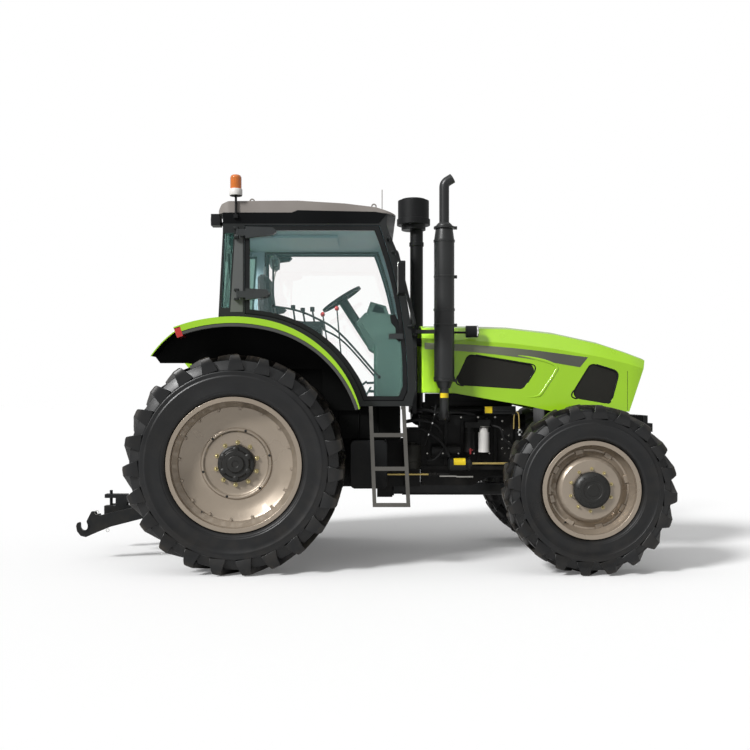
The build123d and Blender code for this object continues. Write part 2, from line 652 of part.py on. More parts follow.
# where the roof sits on the cab: (x from the rear axle, z)
ROOF_SEAM = [
    (-173, CAB_TOP_Z),
    (450, CAB_TOP_Z),
    (500, CAB_TOP_Z + 20),
    (1160, CAB_TOP_Z + 6),
    (1262, CAB_TOP_Z - 8),
]
roof_seam = [(REAR_AXLE_X + x, z) for x, z in ROOF_SEAM]
DOOR_HINGES = ((2860, 325), (2336, 267))  # height, reach of the cover from the rear axle
HANDRAIL = ((1306, 2700), (1340, 2700), (1495, 2065), (1440, 2065))  # foot, bend, bend, foot
with BuildPart() as side_frame:
    with BuildSketch(Plane.XZ.offset(POST_Y)):
        with BuildLine():
            front = front_arc(FRONT_PILLAR)
            behind, below = CAB_REAR_X - CROWN_X, CAB_SILL_Z - SHOULDER_Z
            rear_angle = degrees(acos(behind / (CROWN_R + SEAT_GAP)))
            tip_angle = degrees(asin(below / (SHOULDER_R + SEAT_GAP)))
            rear_foot, heel = fender_curve(-SEAT_GAP, rear_angle=rear_angle, tip_angle=tip_angle)
            Polyline(front @ 1, (DOOR_TOE_X + 72, CAB_SILL_Z), heel)
            rear_edge = (CAB_REAR_X, REAR_SILL_Z + 22), (CAB_REAR_TOP_X, 2870), (CAB_REAR_TOP_X, CAB_TOP_Z)
            Polyline(rear_foot, *rear_edge, *roof_seam[1:], front @ 0)
        make_face()
        door_face(0, mode=Mode.SUBTRACT)
        quarter_face(0, mode=Mode.SUBTRACT)
    extrude(amount=CAB_POST)
    rail_y = [-CAB_HALF + 15, -CAB_HALF - 80, -CAB_HALF - 80, -CAB_HALF + 15]
    pipe([(REAR_AXLE_X + x, y, z) for (x, z), y in zip(HANDRAIL, rail_y)], 14, 40)
    for z, reach in DOOR_HINGES:  # hinge brackets on the rear pillar
        for foot in (z - 48, z + 30):
            block((HINGE_X - 30, HINGE_X), (HINGE_Y - HINGE_PIN, -CAB_HALF), (foot, foot + 18))
            bar((HINGE_X, HINGE_Y, foot), (HINGE_X, HINGE_Y, foot + 18), HINGE_PIN)
with BuildPart() as cab_frame:
    add(side_frame.part)
    mirror(side_frame.part, about=Plane.XZ)
    block((CAB_REAR_TOP_X, CAB_REAR_TOP_X + 60), (-POST_Y, POST_Y), (2890, CAB_TOP_Z))
    block((REAR_AXLE_X + 1150, REAR_AXLE_X + 1220), (-POST_Y, POST_Y), (DOOR_TOP_Z, CAB_TOP_Z - 12))
    block((CAB_REAR_X, CAB_REAR_X + 60), (-POST_Y, POST_Y), (REAR_SILL_Z, REAR_GLASS_Z))
    block((REAR_AXLE_X + 1430, REAR_AXLE_X + 1480), (-POST_Y, POST_Y), (CAB_SILL_Z, 1520))
pieces["cab_frame"] = cab_frame

with BuildPart() as cab_tub:
    inner = FENDER_INNER_Y
    block((PLATFORM_FRONT_X, REAR_AXLE_X + 1430), (-inner, inner), (FLOOR_Z, FLOOR_Z + TUB_WALL))
    block((REAR_AXLE_X + 1062, REAR_AXLE_X + 1430), (-POST_Y, POST_Y), (FLOOR_Z, FLOOR_Z + TUB_WALL))
    block((PLATFORM_FRONT_X, PLATFORM_FRONT_X + TUB_WALL), (-inner, inner), (FLOOR_Z, PLATFORM_Z))
    block((CAB_REAR_X, PLATFORM_FRONT_X), (-inner, inner), (PLATFORM_Z - TUB_WALL, PLATFORM_Z))
    block((CAB_REAR_X, CAB_REAR_X + TUB_WALL), (-inner, inner), (PLATFORM_Z, REAR_SILL_Z))
    for side in (-1, 1):  # mounts down to the rear housing and the gearbox
        for x in (REAR_AXLE_X - 60, REAR_AXLE_X + 240):
            block((x, x + 90), sorted((side * 80, side * 170)), (HOUSING_TOP, PLATFORM_Z - TUB_WALL))
        block((REAR_AXLE_X + 1115, REAR_AXLE_X + 1205), sorted((side * 60, side * 170)), (1080, FLOOR_Z))
pieces["cab_tub"] = cab_tub

# roof's top line from the front brow to the rear edge: (x from the rear axle, z)
ROOF_TOP = [
    (1337, 3016),
    (1337, 3028),
    (1166, 3082),
    (900, 3114),
    (503, 3138),
    (-89, 3134),
    (-150, 3112),
    (-186, 3060),
]
LIFTING_EYES = ((REAR_AXLE_X + 90, 3142), (REAR_AXLE_X + 1150, 3098))  # x, seat height
EYE_Y = 600
ANTENNA = (REAR_AXLE_X + 1230, 300, 3082)
with BuildPart() as roof:
    seam = [(REAR_AXLE_X - 186, CAB_TOP_Z), *roof_seam[1:]]
    slab(seam + [(REAR_AXLE_X + x, z) for x, z in ROOF_TOP], -ROOF_HALF, ROOF_HALF)
    with BuildSketch(Plane.XY.offset(2990)):
        with Locations((REAR_AXLE_X + (1337 - 186) / 2, 0)):
            RectangleRounded(1337 + 186, 2 * ROOF_HALF, 110)
    extrude(amount=200, mode=Mode.INTERSECT)
    for x, seat in LIFTING_EYES:
        for y in (-EYE_Y, EYE_Y):
            bar((x, y, seat - 50), (x, y, seat), 30)
    bar((ANTENNA[0], ANTENNA[1], ANTENNA[2] - 40), ANTENNA, 22)
    for x, seat in LIFTING_EYES:
        for y in (-EYE_Y, EYE_Y):
            bar((x, y, seat), (x, y, seat + 10), 12)
            with BuildSketch(Plane.XZ.offset(-y - 5)):
                with Locations((x, seat + 28)):
                    Circle(24)
                    Circle(13, mode=Mode.SUBTRACT)
            extrude(amount=10)
    bar(ANTENNA, (ANTENNA[0], ANTENNA[1], ANTENNA[2] + 40), 10)
    bar(ANTENNA, (ANTENNA[0], ANTENNA[1], 3462), 4)
pieces["roof"] = roof

with BuildPart() as windscreen:
    with BuildSketch(Plane.XZ.offset(POST_Y)):
        with BuildLine():
            outer, inner_arc = front_arc(FRONT_PILLAR - 12), front_arc(FRONT_PILLAR - 12 - GLASS)
            Line(outer @ 0, inner_arc @ 0)
            Line(outer @ 1, inner_arc @ 1)
        make_face()
    extrude(amount=-2 * POST_Y)
with BuildPart() as rear_glass:
    foot_x, top_x = CAB_REAR_X + 20, CAB_REAR_TOP_X + 20
    outer = (top_x, 2890), (foot_x, REAR_GLASS_Z)
    inner = (foot_x + GLASS, REAR_GLASS_Z), (top_x + GLASS, 2890)
    slab([*outer, *inner], -POST_Y + 14, POST_Y - 14)

with BuildPart() as quarter_glass:
    with BuildSketch(Plane.XZ.offset(POST_Y - GLASS)):
        quarter_face(16)
    extrude(amount=GLASS)
with BuildPart() as cab_windows:
    add(windscreen.part)
    add(rear_glass.part)
    add(quarter_glass.part)
    mirror(quarter_glass.part, about=Plane.XZ)
pieces["cab_windows"] = cab_windows

with BuildPart() as door_right:
    with BuildSketch(Plane.XZ.offset(CAB_HALF - DOOR_THICKNESS)):
        door_face(DOOR_GAP)
        door_face(DOOR_GAP + DOOR_FRAME, mode=Mode.SUBTRACT)
    extrude(amount=DOOR_THICKNESS)
    for z, reach in DOOR_HINGES:
        with BuildSketch(Plane.XZ.offset(CAB_HALF)):
            foot, tip = DOOR_REAR_X + 12, REAR_AXLE_X + reach
            outline = (foot, z - 50), (foot, z + 50), (tip - 30, z + 42), (tip, z + 10), (tip - 30, z - 20)
            Polygon(*outline, align=None)
        extrude(amount=-HINGE_Y - CAB_HALF + 10)
        block((HINGE_X, DOOR_REAR_X + 20), (HINGE_Y - 10, HINGE_Y + 12), (z - 28, z + 28))
        bar((HINGE_X, HINGE_Y, z - 30 + RUN_GAP), (HINGE_X, HINGE_Y, z + 30 - RUN_GAP), HINGE_PIN)
    latch_x = REAR_AXLE_X + 1275, REAR_AXLE_X + 1395
    block(latch_x, (-CAB_HALF - 24, -CAB_HALF), (1960, 2005))
pieces["door_right"] = door_right
pieces["door_left"] = mirrored(door_right.part)

with BuildPart() as door_glass_right:
    with BuildSketch(Plane.XZ.offset(CAB_HALF - DOOR_THICKNESS - GLASS)):
        door_face(DOOR_GAP + DOOR_FRAME - 14)
    extrude(amount=GLASS)
pieces["door_glass_right"] = door_glass_right
pieces["door_glass_left"] = mirrored(door_glass_right.part)

# ---------------------------------------------------------------- cab interior
SEAT_X = (REAR_AXLE_X + 150, REAR_AXLE_X + 560)
SEAT_TOP_Z = PLATFORM_Z + 140
WHEEL_CENTRE = (REAR_AXLE_X + 865, 0, 2355)
WHEEL_TILT = -33  # rake of the steering wheel's plane
with BuildPart() as seat_base:
    block((SEAT_X[0] + 60, SEAT_X[1] - 60), (-170, 170), (PLATFORM_Z, PLATFORM_Z + 60))
    block((SEAT_X[0] + 100, SEAT_X[1] - 100), (-130, 130), (PLATFORM_Z + 60, SEAT_TOP_Z - 20))
    block(SEAT_X, (-220, 220), (SEAT_TOP_Z - 20, SEAT_TOP_Z))
    block((SEAT_X[0] - 30, SEAT_X[0]), (-180, 180), (SEAT_TOP_Z - 20, SEAT_TOP_Z + 180))  # back plate
with BuildPart() as seat_cushions:
    cushion_z = (SEAT_TOP_Z + SEAT_GAP, SEAT_TOP_Z + 120)
    block((SEAT_X[0] + 14, SEAT_X[1] + 10), (-240, 240), cushion_z)
    fillet(seat_cushions.edges().filter_by(Axis.Z), 60)
    # back cushion, stepped round the back plate: (x from the back of the seat, z above its top)
    back = [
        (SEAT_GAP, 130),
        (110, 130),
        (30, 700),
        (-60, 700),
        (-60, 400),
        (-34, 180 + SEAT_GAP),
        (SEAT_GAP, 180 + SEAT_GAP),
    ]
    slab([(SEAT_X[0] + x, SEAT_TOP_Z + z) for x, z in back], -235, 235)
pieces["seat_cushions"] = seat_cushions

with seat_base:  # armrest console on the driver's right
    armrest_z = SEAT_TOP_Z + 180
    block((SEAT_X[0] - 20, SEAT_X[1] + 130), (-560, -300), (PLATFORM_Z, armrest_z))
    block((SEAT_X[0] + 40, SEAT_X[1] + 150), (-540, -320), (armrest_z, armrest_z + 50))
    for x, y, z in ((430, -400, 2265), (520, -460, 2235), (600, -380, 2250)):  # levers
        foot = (REAR_AXLE_X + x + 20, y, 2120)
        bar(foot, (REAR_AXLE_X + x, y, z), 8)
        with Locations((REAR_AXLE_X + x, y, z)):
            Cylinder(20, 40)
pieces["seat_base"] = seat_base

with BuildPart() as console:
    front_x = REAR_AXLE_X + 1430
    pedestal = [
        (REAR_AXLE_X + 1150, FLOOR_Z + TUB_WALL),
        (front_x, FLOOR_Z + TUB_WALL),
        (front_x, 2080),
        (REAR_AXLE_X + 1330, 2215),
        (REAR_AXLE_X + 1110, 2240),
        (REAR_AXLE_X + 1040, 2140),
        (REAR_AXLE_X + 1150, 1960),
    ]
    slab(pedestal, -230, 230)
    fillet(console.edges().filter_by(Axis.Z), 40)
    instrument_hood = [(1080, 2232), (1290, 2215), (1260, 2300), (1120, 2340)]  # (x from the rear axle, z)
    slab([(REAR_AXLE_X + x, z) for x, z in instrument_hood], -160, 160)
    column_foot = (REAR_AXLE_X + 1110, 0, 1975)
    bar(column_foot, WHEEL_CENTRE, 44)
    for y in (-150, 150):  # pedals
        pedal = [(1060, 1460), (1076, 1460), (1130, 1560), (1114, 1560)]  # (x from the rear axle, z)
        slab([(REAR_AXLE_X + x, z) for x, z in pedal], y - 40, y + 40)
        bar((REAR_AXLE_X + 1100, y, 1520), (REAR_AXLE_X + 1160, y, 1520), 12)
pieces["console"] = console

with BuildPart() as steering_wheel:
    axis = Vector(WHEEL_CENTRE) - Vector(column_foot)
    with BuildSketch(Plane(origin=WHEEL_CENTRE, z_dir=axis)) as hub_disc:
        Circle(60)
    extrude(amount=40)
    wheel_plane = Plane(origin=Vector(WHEEL_CENTRE) + axis.normalized() * 25, z_dir=axis)
    with BuildSketch(wheel_plane) as spokes:
        for angle in (90, 210, 330):
            with Locations(Location((0, 0, 0), (0, 0, angle))):
                with Locations((110, 0)):
                    Rectangle(170, 30)
    extrude(amount=8, both=True)
    with BuildSketch(wheel_plane) as rim_ring:
        RegularPolygon(205, 24)
        RegularPolygon(178, 24, mode=Mode.SUBTRACT)
    extrude(amount=13, both=True)
pieces["steering_wheel"] = steering_wheel

# ---------------------------------------------------------------- cowl and hood
RAIL_FRONT_X = REAR_AXLE_X + 1508
HOOD_PIN = 10
COWL = [(430, 1320), (430, 1900), (405, 2010), (330, 2062), (0, 2080)]  # half section: half width, height
with BuildPart() as cowl:
    with BuildSketch(Plane((COWL_FRONT_X - COWL_THICKNESS, 0, 0), x_dir=(0, 1, 0), z_dir=(1, 0, 0))):
        Polygon(*COWL, *[(-y, z) for y, z in COWL[-2::-1]], align=None)
    extrude(amount=COWL_THICKNESS)
    block((RAIL_FRONT_X - 38, RAIL_FRONT_X), (-POST_Y, POST_Y), (2010, 2060))  # rail across the cab's front
    block((REAR_AXLE_X + 1480, COWL_FRONT_X), (-HOOD_HALF, HOOD_HALF), (CAB_SILL_Z, 1480))
    for side in (-1, 1):  # brackets forward to the hood's hinges
        near, far = [side * y for y in HOOD_EYES]
        block((COWL_FRONT_X - 20, HOOD_HINGE_X + 20), (near, far), (HOOD_HINGE_Z - 110, HOOD_HINGE_Z - 60))
        block((HOOD_HINGE_X - 20, HOOD_HINGE_X + 20), (near, far), (HOOD_HINGE_Z - 110, HOOD_HINGE_Z))
        eye = (HOOD_HINGE_X, near, HOOD_HINGE_Z), (HOOD_HINGE_X, far, HOOD_HINGE_Z)
        bar(*eye, 20)
        bar(*eye, HOOD_PIN + RUN_GAP, Mode.SUBTRACT)
pieces["cowl"] = cowl

# hood stations: (x, half width, height of the side's top edge, height of the crown)
HOOD_STATIONS = [
    (HOOD_REAR_X, 430, 1990, 2122),
    (REAR_AXLE_X + 2000, 430, 1968, 2121),
    (REAR_AXLE_X + 2360, 430, 1943, 2110),
    (REAR_AXLE_X + 2770, 420, 1893, 2064),
    (REAR_AXLE_X + 3175, 401, 1821, 1976),
    (REAR_AXLE_X + 3440, 378, 1757, 1889),
    (REAR_AXLE_X + 3600, 350, 1710, 1830),
]
SHOULDER_SHARE, SHOULDER_DROP = 0.82, 38
# side outline from the rear round the lower edge to the nose: (x from the rear axle, z)
HOOD_EDGE = [(1400, 1512), (1858, 1502), (2175, 1447), (2492, 1391), (2730, 1340), (3432, 1336), (3598, 1812)]
MESH_1 = [(1985, 1851), (2611, 1748), (2476, 1534), (1858, 1574)]
MESH_2 = [(3079, 1772), (3340, 1693), (3261, 1400), (2888, 1463)]
MESH_ROUND = 60


def hood_form(inset):
    """Adds the hood's full form, moved in by inset on the sides and the top."""
    sections = []
    for x, half, side_z, crown_z in HOOD_STATIONS:
        with BuildSketch(Plane((x, 0, 0), x_dir=(0, 1, 0), z_dir=(1, 0, 0))) as section:
            y, shoulder = half - inset, (half - inset) * SHOULDER_SHARE
            side, top = side_z - inset * 0.5, crown_z - inset
            with BuildLine() as outline:
                edge = top - SHOULDER_DROP
                crown = ThreePointArc((-shoulder, edge), (0, top), (shoulder, edge))
                Polyline(crown @ 1, (y, side), (y, 1250), (-y, 1250), (-y, side), crown @ 0)
            make_face(outline.edges())
        sections.append(section.sketch)
    return loft(sections, ruled=True)


def mesh_opening(corners, grow, mode):
    """Adds or cuts one rounded grille opening through both sides of the hood."""
    with BuildSketch(Plane.XZ.offset(600)) as opening:
        Polygon(*[(REAR_AXLE_X + x, z) for x, z in corners], align=None)
        fillet(opening.vertices(), MESH_ROUND)
        if grow:
            offset(amount=grow)
    return extrude(opening.sketch, amount=-1200, mode=mode)


def edge_outline(inset):
    """Adds the hood's side outline as a solid, to trim a form with."""
    points = [(REAR_AXLE_X + x, z) for x, z in HOOD_EDGE]
    tip_x, tip_z = points[-1]
    points[-1] = (tip_x - inset, tip_z)
    points[-2] = (points[-2][0] - inset, points[-2][1])
    points += [(tip_x - inset + 30, 1840), (tip_x - inset + 30, 2300), (points[0][0], 2300)]
    return slab(points, -700, 700, Mode.INTERSECT)


with BuildPart() as inner_form:
    hood_form(HOOD_SKIN)
with BuildPart() as hood:
    hood_form(0)
    edge_outline(0)
    add(inner_form.part, mode=Mode.SUBTRACT)
    mesh_opening(MESH_1, 0, Mode.SUBTRACT)
    mesh_opening(MESH_2, 0, Mode.SUBTRACT)
    near, far = HOOD_EYES
    for side in (-1, 1):  # hinge arms with round eyes beside the cowl's brackets, on one pin
        for inner, outer in ((near - RUN_GAP - 30, near - RUN_GAP), (far + RUN_GAP, far + RUN_GAP + 30)):
            y = side * inner, side * outer
            bar((HOOD_HINGE_X, y[0], HOOD_HINGE_Z), (HOOD_HINGE_X, y[1], HOOD_HINGE_Z), 20)
            block((HOOD_HINGE_X - 8, HOOD_HINGE_X + 100), sorted(y), (HOOD_HINGE_Z, HOOD_HINGE_Z + 38))
        pin_y = side * (near - 4), side * (far + 4)
        bar((HOOD_HINGE_X, pin_y[0], HOOD_HINGE_Z), (HOOD_HINGE_X, pin_y[1], HOOD_HINGE_Z), HOOD_PIN)
pieces["hood"] = hood

with BuildPart() as openings:
    mesh_opening(MESH_1, 22, Mode.ADD)
    mesh_opening(MESH_2, 22, Mode.ADD)
MESH_THICKNESS = 8
NOSE_BACK = 14  # nose grille behind the hood's front edge
(foot_x, foot_z), (tip_x, tip_z) = [(REAR_AXLE_X + x - NOSE_BACK, z) for x, z in HOOD_EDGE[-2:]]
NOSE_SLOPE = (tip_x - foot_x) / (tip_z - foot_z)


def nose_slab(z_from, z_to, behind, thickness, y_from, y_to, mode=Mode.ADD):
    """Adds a slab parallel to the hood's raked front edge, between two heights."""
    x_from, x_to = [foot_x - behind + NOSE_SLOPE * (z - foot_z) for z in (z_from, z_to)]
    corners = [(x_from, z_from), (x_from - thickness, z_from), (x_to - thickness, z_to), (x_to, z_to)]
    return slab(corners, y_from, y_to, mode)


with BuildPart() as deeper_form:
    hood_form(HOOD_SKIN + MESH_THICKNESS)
with BuildPart() as hood_grilles:
    add(inner_form.part)
    add(deeper_form.part, mode=Mode.SUBTRACT)
    add(openings.part, mode=Mode.INTERSECT)
with BuildPart() as nose_plate:
    nose_slab(foot_z + 6, tip_z, 0, 16, -500, 500)
    add(inner_form.part, mode=Mode.INTERSECT)
with BuildPart() as all_grilles:
    add(hood_grilles.part)
    add(nose_plate.part)
pieces["hood_grilles"] = all_grilles

with BuildPart() as headlamps:
    for side in (-1, 1):
        for z_from, z_to, near, far in ((1600, 1690, 70, 290), (1500, 1580, 90, 300)):
            nose_slab(z_from, z_to, -10, 10, side * near, side * far)
pieces["headlamps"] = headlamps

# ---------------------------------------------------------------- outside fittings
with BuildPart() as exhaust:
    with BuildSketch(Plane((STACK_X, STACK_Y, 0), x_dir=(1, 0, 0), z_dir=(0, -1, 0))):
        # half section of the muffler: (radius, z)
        Polygon(
            (0, MUFFLER_BOTTOM),
            (50, MUFFLER_BOTTOM),
            (MUFFLER_R, MUFFLER_BOTTOM + 91),
            (MUFFLER_R, MUFFLER_TOP - 150),
            (70, MUFFLER_TOP - 20),
            (PIPE_R + 8, MUFFLER_TOP),
            (0, MUFFLER_TOP),
            align=None,
        )
    revolve(axis=Axis((STACK_X, STACK_Y, 0), (0, 0, 1)))
    for z in (MUFFLER_BOTTOM + 91, MUFFLER_TOP - 754, MUFFLER_TOP - 158):  # clamping bands
        bar((STACK_X, STACK_Y, z - 9), (STACK_X, STACK_Y, z + 9), MUFFLER_R + 5)
    outlet = [(STACK_X, STACK_Y, MUFFLER_TOP - 40), (STACK_X, STACK_Y, 3322), (STACK_X + 72, STACK_Y, 3366)]
    pipe(outlet, PIPE_R, 60)
    mouth = Vector(outlet[2]) - Vector(outlet[1])
    bar(Vector(outlet[1]) + mouth * 0.2, Vector(outlet[2]) + mouth * 0.1, PIPE_R - 4, Mode.SUBTRACT)
    elbow = (STACK_X, STACK_Y, 1290)
    pipe([(STACK_X, STACK_Y, MUFFLER_BOTTOM + 20), elbow, (STACK_X, -TURBO_Y, 1290)], 40, 90)
    bracket_y = STACK_Y - 30, STACK_Y + 30
    block((RAIL_FRONT_X, STACK_X - 60), bracket_y, (2020, 2050))
pieces["exhaust"] = exhaust

# the duct's clamp and the precleaner's stages: (x, radius, foot, top)
PRECLEANER = [
    (INTAKE_X, DUCT_R + 8, 2960, 3000),
    (INTAKE_X - 30, 120, 3120, 3168),
    (INTAKE_X - 30, 165, 3168, 3228),
    (INTAKE_X - 30, 154, 3228, 3412),
    (INTAKE_X - 30, 120, 3412, 3427),
]
with BuildPart() as air_intake:
    duct = [(INTAKE_X, INTAKE_Y, 3180), (INTAKE_X, INTAKE_Y, 1260), (INTAKE_X, BLOCK_HALF, 1260)]
    pipe(duct, DUCT_R, 110)
    for x, radius, foot, top in PRECLEANER:
        bar((x, INTAKE_Y, foot), (x, INTAKE_Y, top), radius)
    block((RAIL_FRONT_X, INTAKE_X - 40), (INTAKE_Y - 30, INTAKE_Y + 30), (2015, 2055))
pieces["air_intake"] = air_intake

with BuildPart() as mirror_right:
    arm_x, mirror_y = REAR_AXLE_X + 1270, -CAB_HALF - 270
    pipe([(arm_x, -CAB_HALF, 2800), (arm_x, mirror_y, 2800), (arm_x + 100, mirror_y, 2560)], 12, 40)
    block((REAR_AXLE_X + 1345, REAR_AXLE_X + 1405), (mirror_y - 110, mirror_y + 110), (2306, 2578))
    fillet(mirror_right.edges().filter_by(Axis.X).group_by(SortBy.LENGTH)[-1], 30)
pieces["mirrors"] = pair(mirror_right.part)

LAMP_Y, LAMP_Z, LAMP_R = 495, 2035, 52
with BuildPart() as lamps:
    for side in (-1, 1):
        bar((RAIL_FRONT_X, side * LAMP_Y, LAMP_Z), (REAR_AXLE_X + 1965, side * LAMP_Y, LAMP_Z), 10)
        lamp_back, lamp_face = [(REAR_AXLE_X + x, side * LAMP_Y, LAMP_Z + 8) for x in (1960, 2060)]
        bar(lamp_back, lamp_face, LAMP_R)
        # rear work lamps
        lamp_y = sorted((side * 460, side * 580))
        block((CAB_REAR_TOP_X - 137, CAB_REAR_TOP_X - 57), lamp_y, (2965, 3065))
        block((CAB_REAR_TOP_X - 70, CAB_REAR_TOP_X), sorted((side * 500, side * 540)), (2970, 3000))

with BuildPart() as tail_lamp:
    with BuildSketch(Plane.XZ.offset(880)):
        with BuildLine():
            top, foot = FENDER_SKIN + SEAT_GAP, 95
            ends = LAMP_ANGLE, LAMP_ANGLE - LAMP_SPAN
            upper, lower = [[on_crown(angle, depth) for angle in ends] for depth in (top, foot)]
            Polyline(*upper, *lower[::-1], close=True)
        make_face()
    extrude(amount=FENDER_OUTER_Y - 884)
pieces["tail_lamps"] = pair(tail_lamp.part)

BEACON_X, BEACON_Y = REAR_AXLE_X - 22, -CAB_HALF - 15
with lamps:  # the beacon's stem and base
    bar((BEACON_X, BEACON_Y, 3000), (BEACON_X, BEACON_Y, 3175), 10)
    block((BEACON_X - 18, BEACON_X + 18), (BEACON_Y - 17, -CAB_HALF), (2985, 3015))
    bar((BEACON_X, BEACON_Y, 3173), (BEACON_X, BEACON_Y, 3230), 52)
pieces["lamps"] = lamps

with BuildPart() as beacon_dome:
    bar((BEACON_X, BEACON_Y, 3230), (BEACON_X, BEACON_Y, 3352), 48)
    fillet(beacon_dome.faces().sort_by(Axis.Z)[-1].edges(), 30)
pieces["beacon_dome"] = beacon_dome

# ---------------------------------------------------------------- rear hitch
fall = Vector(HOOK_X - LINK_PIN_X, 0, HOOK_Z + 20 - LINK_PIN_Z).normalized() * LIFT_LENGTH
LINK_EYE = (LINK_PIN_X + fall.X, LINK_PIN_Z + fall.Z)  # where the rod meets the lower link
ARM_EYE = (LINK_PIN_X + fall.X, ARM_PIN_Z + fall.Z)
link_in, link_out = LINK_Y - LINK_THICKNESS / 2, LINK_Y + LINK_THICKNESS / 2
rod_out = link_in - RUN_GAP
rod_in = rod_out - ROD_THICKNESS
arm_out = rod_in - RUN_GAP
arm_in = arm_out - ROD_THICKNESS
ROD_PIN = 18
# lower link outline from the front eye round the hook: (x from the rear axle, z)
LINK_OUTLINE = [
    (-240, 610),
    (-640, 548),
    (-1005, 477),
    (-1327, 400),
    (-1345, 440),
    (-1383, 440),
    (-1433, 342),
    (-1500, 342),
    (-1512, 336),
    (-1521, 309),
    (-1512, 262),
    (-1480, 222),
    (-1433, 210),
    (-1322, 258),
    (-1210, 304),
    (-924, 377),
    (-240, 505),
]
HOOK_MOUTH = [(-1483, 304), (-1487, 366), (-1433, 366), (-1415, 322), (-1415, 304)]
with BuildPart() as link:
    slab([(REAR_AXLE_X + x, z) for x, z in LINK_OUTLINE], -link_in, -link_out)
    bar((LINK_PIN_X, -link_in + 9, LINK_PIN_Z), (LINK_PIN_X, -link_out - 9, LINK_PIN_Z), 58)
    bar((HOOK_X, -link_in + 6, HOOK_Z), (HOOK_X, -link_out - 6, HOOK_Z), HOOK_R + 14)
    bar((HOOK_X, -link_in + 6, HOOK_Z), (HOOK_X, -link_out - 6, HOOK_Z), HOOK_R, Mode.SUBTRACT)
    slab([(REAR_AXLE_X + x, z) for x, z in HOOK_MOUTH], -link_in + 10, -link_out - 10, Mode.SUBTRACT)
    bar((LINK_PIN_X, -200, LINK_PIN_Z), (LINK_PIN_X, -450, LINK_PIN_Z), LINK_PIN_R + RUN_GAP, Mode.SUBTRACT)
    bar((LINK_EYE[0], -link_in, LINK_EYE[1]), (LINK_EYE[0], -rod_in - 2, LINK_EYE[1]), ROD_PIN)
pieces["lower_links"] = pair(link.part)

with BuildPart() as lift_arms:
    bar((LINK_PIN_X, -arm_out, ARM_PIN_Z), (LINK_PIN_X, arm_out, ARM_PIN_Z), 42)
    for side in (-1, 1):
        near, far = sorted((side * arm_in, side * arm_out))
        bar((LINK_PIN_X, near, ARM_PIN_Z), (LINK_PIN_X, far, ARM_PIN_Z), 70)
        bar((ARM_EYE[0], near, ARM_EYE[1]), (ARM_EYE[0], far, ARM_EYE[1]), 44)
        slab([(LINK_PIN_X, ARM_PIN_Z + 68), (LINK_PIN_X, ARM_PIN_Z - 68), (ARM_EYE[0], ARM_EYE[1] - 42),
              (ARM_EYE[0], ARM_EYE[1] + 42)], near, far)
        bar((ARM_EYE[0], near, ARM_EYE[1]), (ARM_EYE[0], far, ARM_EYE[1]), ROD_PIN + RUN_GAP, Mode.SUBTRACT)
pieces["lift_arms"] = lift_arms

with BuildPart() as lift_rod:
    rod_y = -(rod_in + rod_out) / 2
    for x, z in (LINK_EYE, ARM_EYE):
        bar((x, -rod_in, z), (x, -rod_out, z), 38)
    bar((ARM_EYE[0], -arm_in, ARM_EYE[1]), (ARM_EYE[0], -rod_out, ARM_EYE[1]), ROD_PIN)
    bar((LINK_EYE[0], rod_y, LINK_EYE[1] + 30), (ARM_EYE[0], rod_y, ARM_EYE[1] - 30), 15)
    bar((LINK_EYE[0], rod_y, LINK_EYE[1] + 190), (ARM_EYE[0], rod_y, ARM_EYE[1] - 170), 18)
    open_bore = (LINK_EYE[0], -rod_in + 5, LINK_EYE[1]), (LINK_EYE[0], -rod_out - 5, LINK_EYE[1])
    bar(*open_bore, ROD_PIN + OPEN_PIVOT_GAP, Mode.SUBTRACT)
pieces["lift_rods"] = pair(lift_rod.part)

TOP_LINK = (HOUSING_REAR_X - 70, 910)  # pin of the top link
TOP_LINK_R = 16
with BuildPart() as hitch_frame:
    for side in (-1, 1):
        near, far = sorted((side * 150, side * (arm_in - 3)))
        block((LINK_PIN_X - 80, LINK_PIN_X + 80), (near, far), (HOUSING_TOP, ARM_PIN_Z))
        bar((LINK_PIN_X, near, ARM_PIN_Z), (LINK_PIN_X, far, ARM_PIN_Z), ARM_PIN_Z - HOUSING_TOP)
        bar((LINK_PIN_X, near, ARM_PIN_Z), (LINK_PIN_X, far, ARM_PIN_Z), 42 + RUN_GAP, Mode.SUBTRACT)
        near, far = side * HOUSING_HALF, side * (link_in - 12)
        block((LINK_PIN_X - 75, LINK_PIN_X + 75), sorted((near, far)), (500, 780))
        pin_end, cap_end = side * (link_out + 12), side * (link_out + 24)
        bar((LINK_PIN_X, far, LINK_PIN_Z), (LINK_PIN_X, pin_end, LINK_PIN_Z), LINK_PIN_R)
        bar((LINK_PIN_X, pin_end, LINK_PIN_Z), (LINK_PIN_X, cap_end, LINK_PIN_Z), 42)
        block((TOP_LINK[0] - 40, HOUSING_REAR_X), sorted((side * 30, side * 58)), (830, 990))
    block((HOUSING_REAR_X - 14, HOUSING_REAR_X), (-58, 58), (820, 1000))
    bar((TOP_LINK[0], -60, TOP_LINK[1]), (TOP_LINK[0], 60, TOP_LINK[1]), TOP_LINK_R, Mode.SUBTRACT)
    block((HOUSING_REAR_X - 170, HOUSING_REAR_X), (-125, 125), (796, 806))  # guard over the power take-off
    for side in (-1, 1):
        block((HOUSING_REAR_X - 170, HOUSING_REAR_X), sorted((side * 115, side * 125)), (690, 800))
pieces["hitch_frame"] = hitch_frame

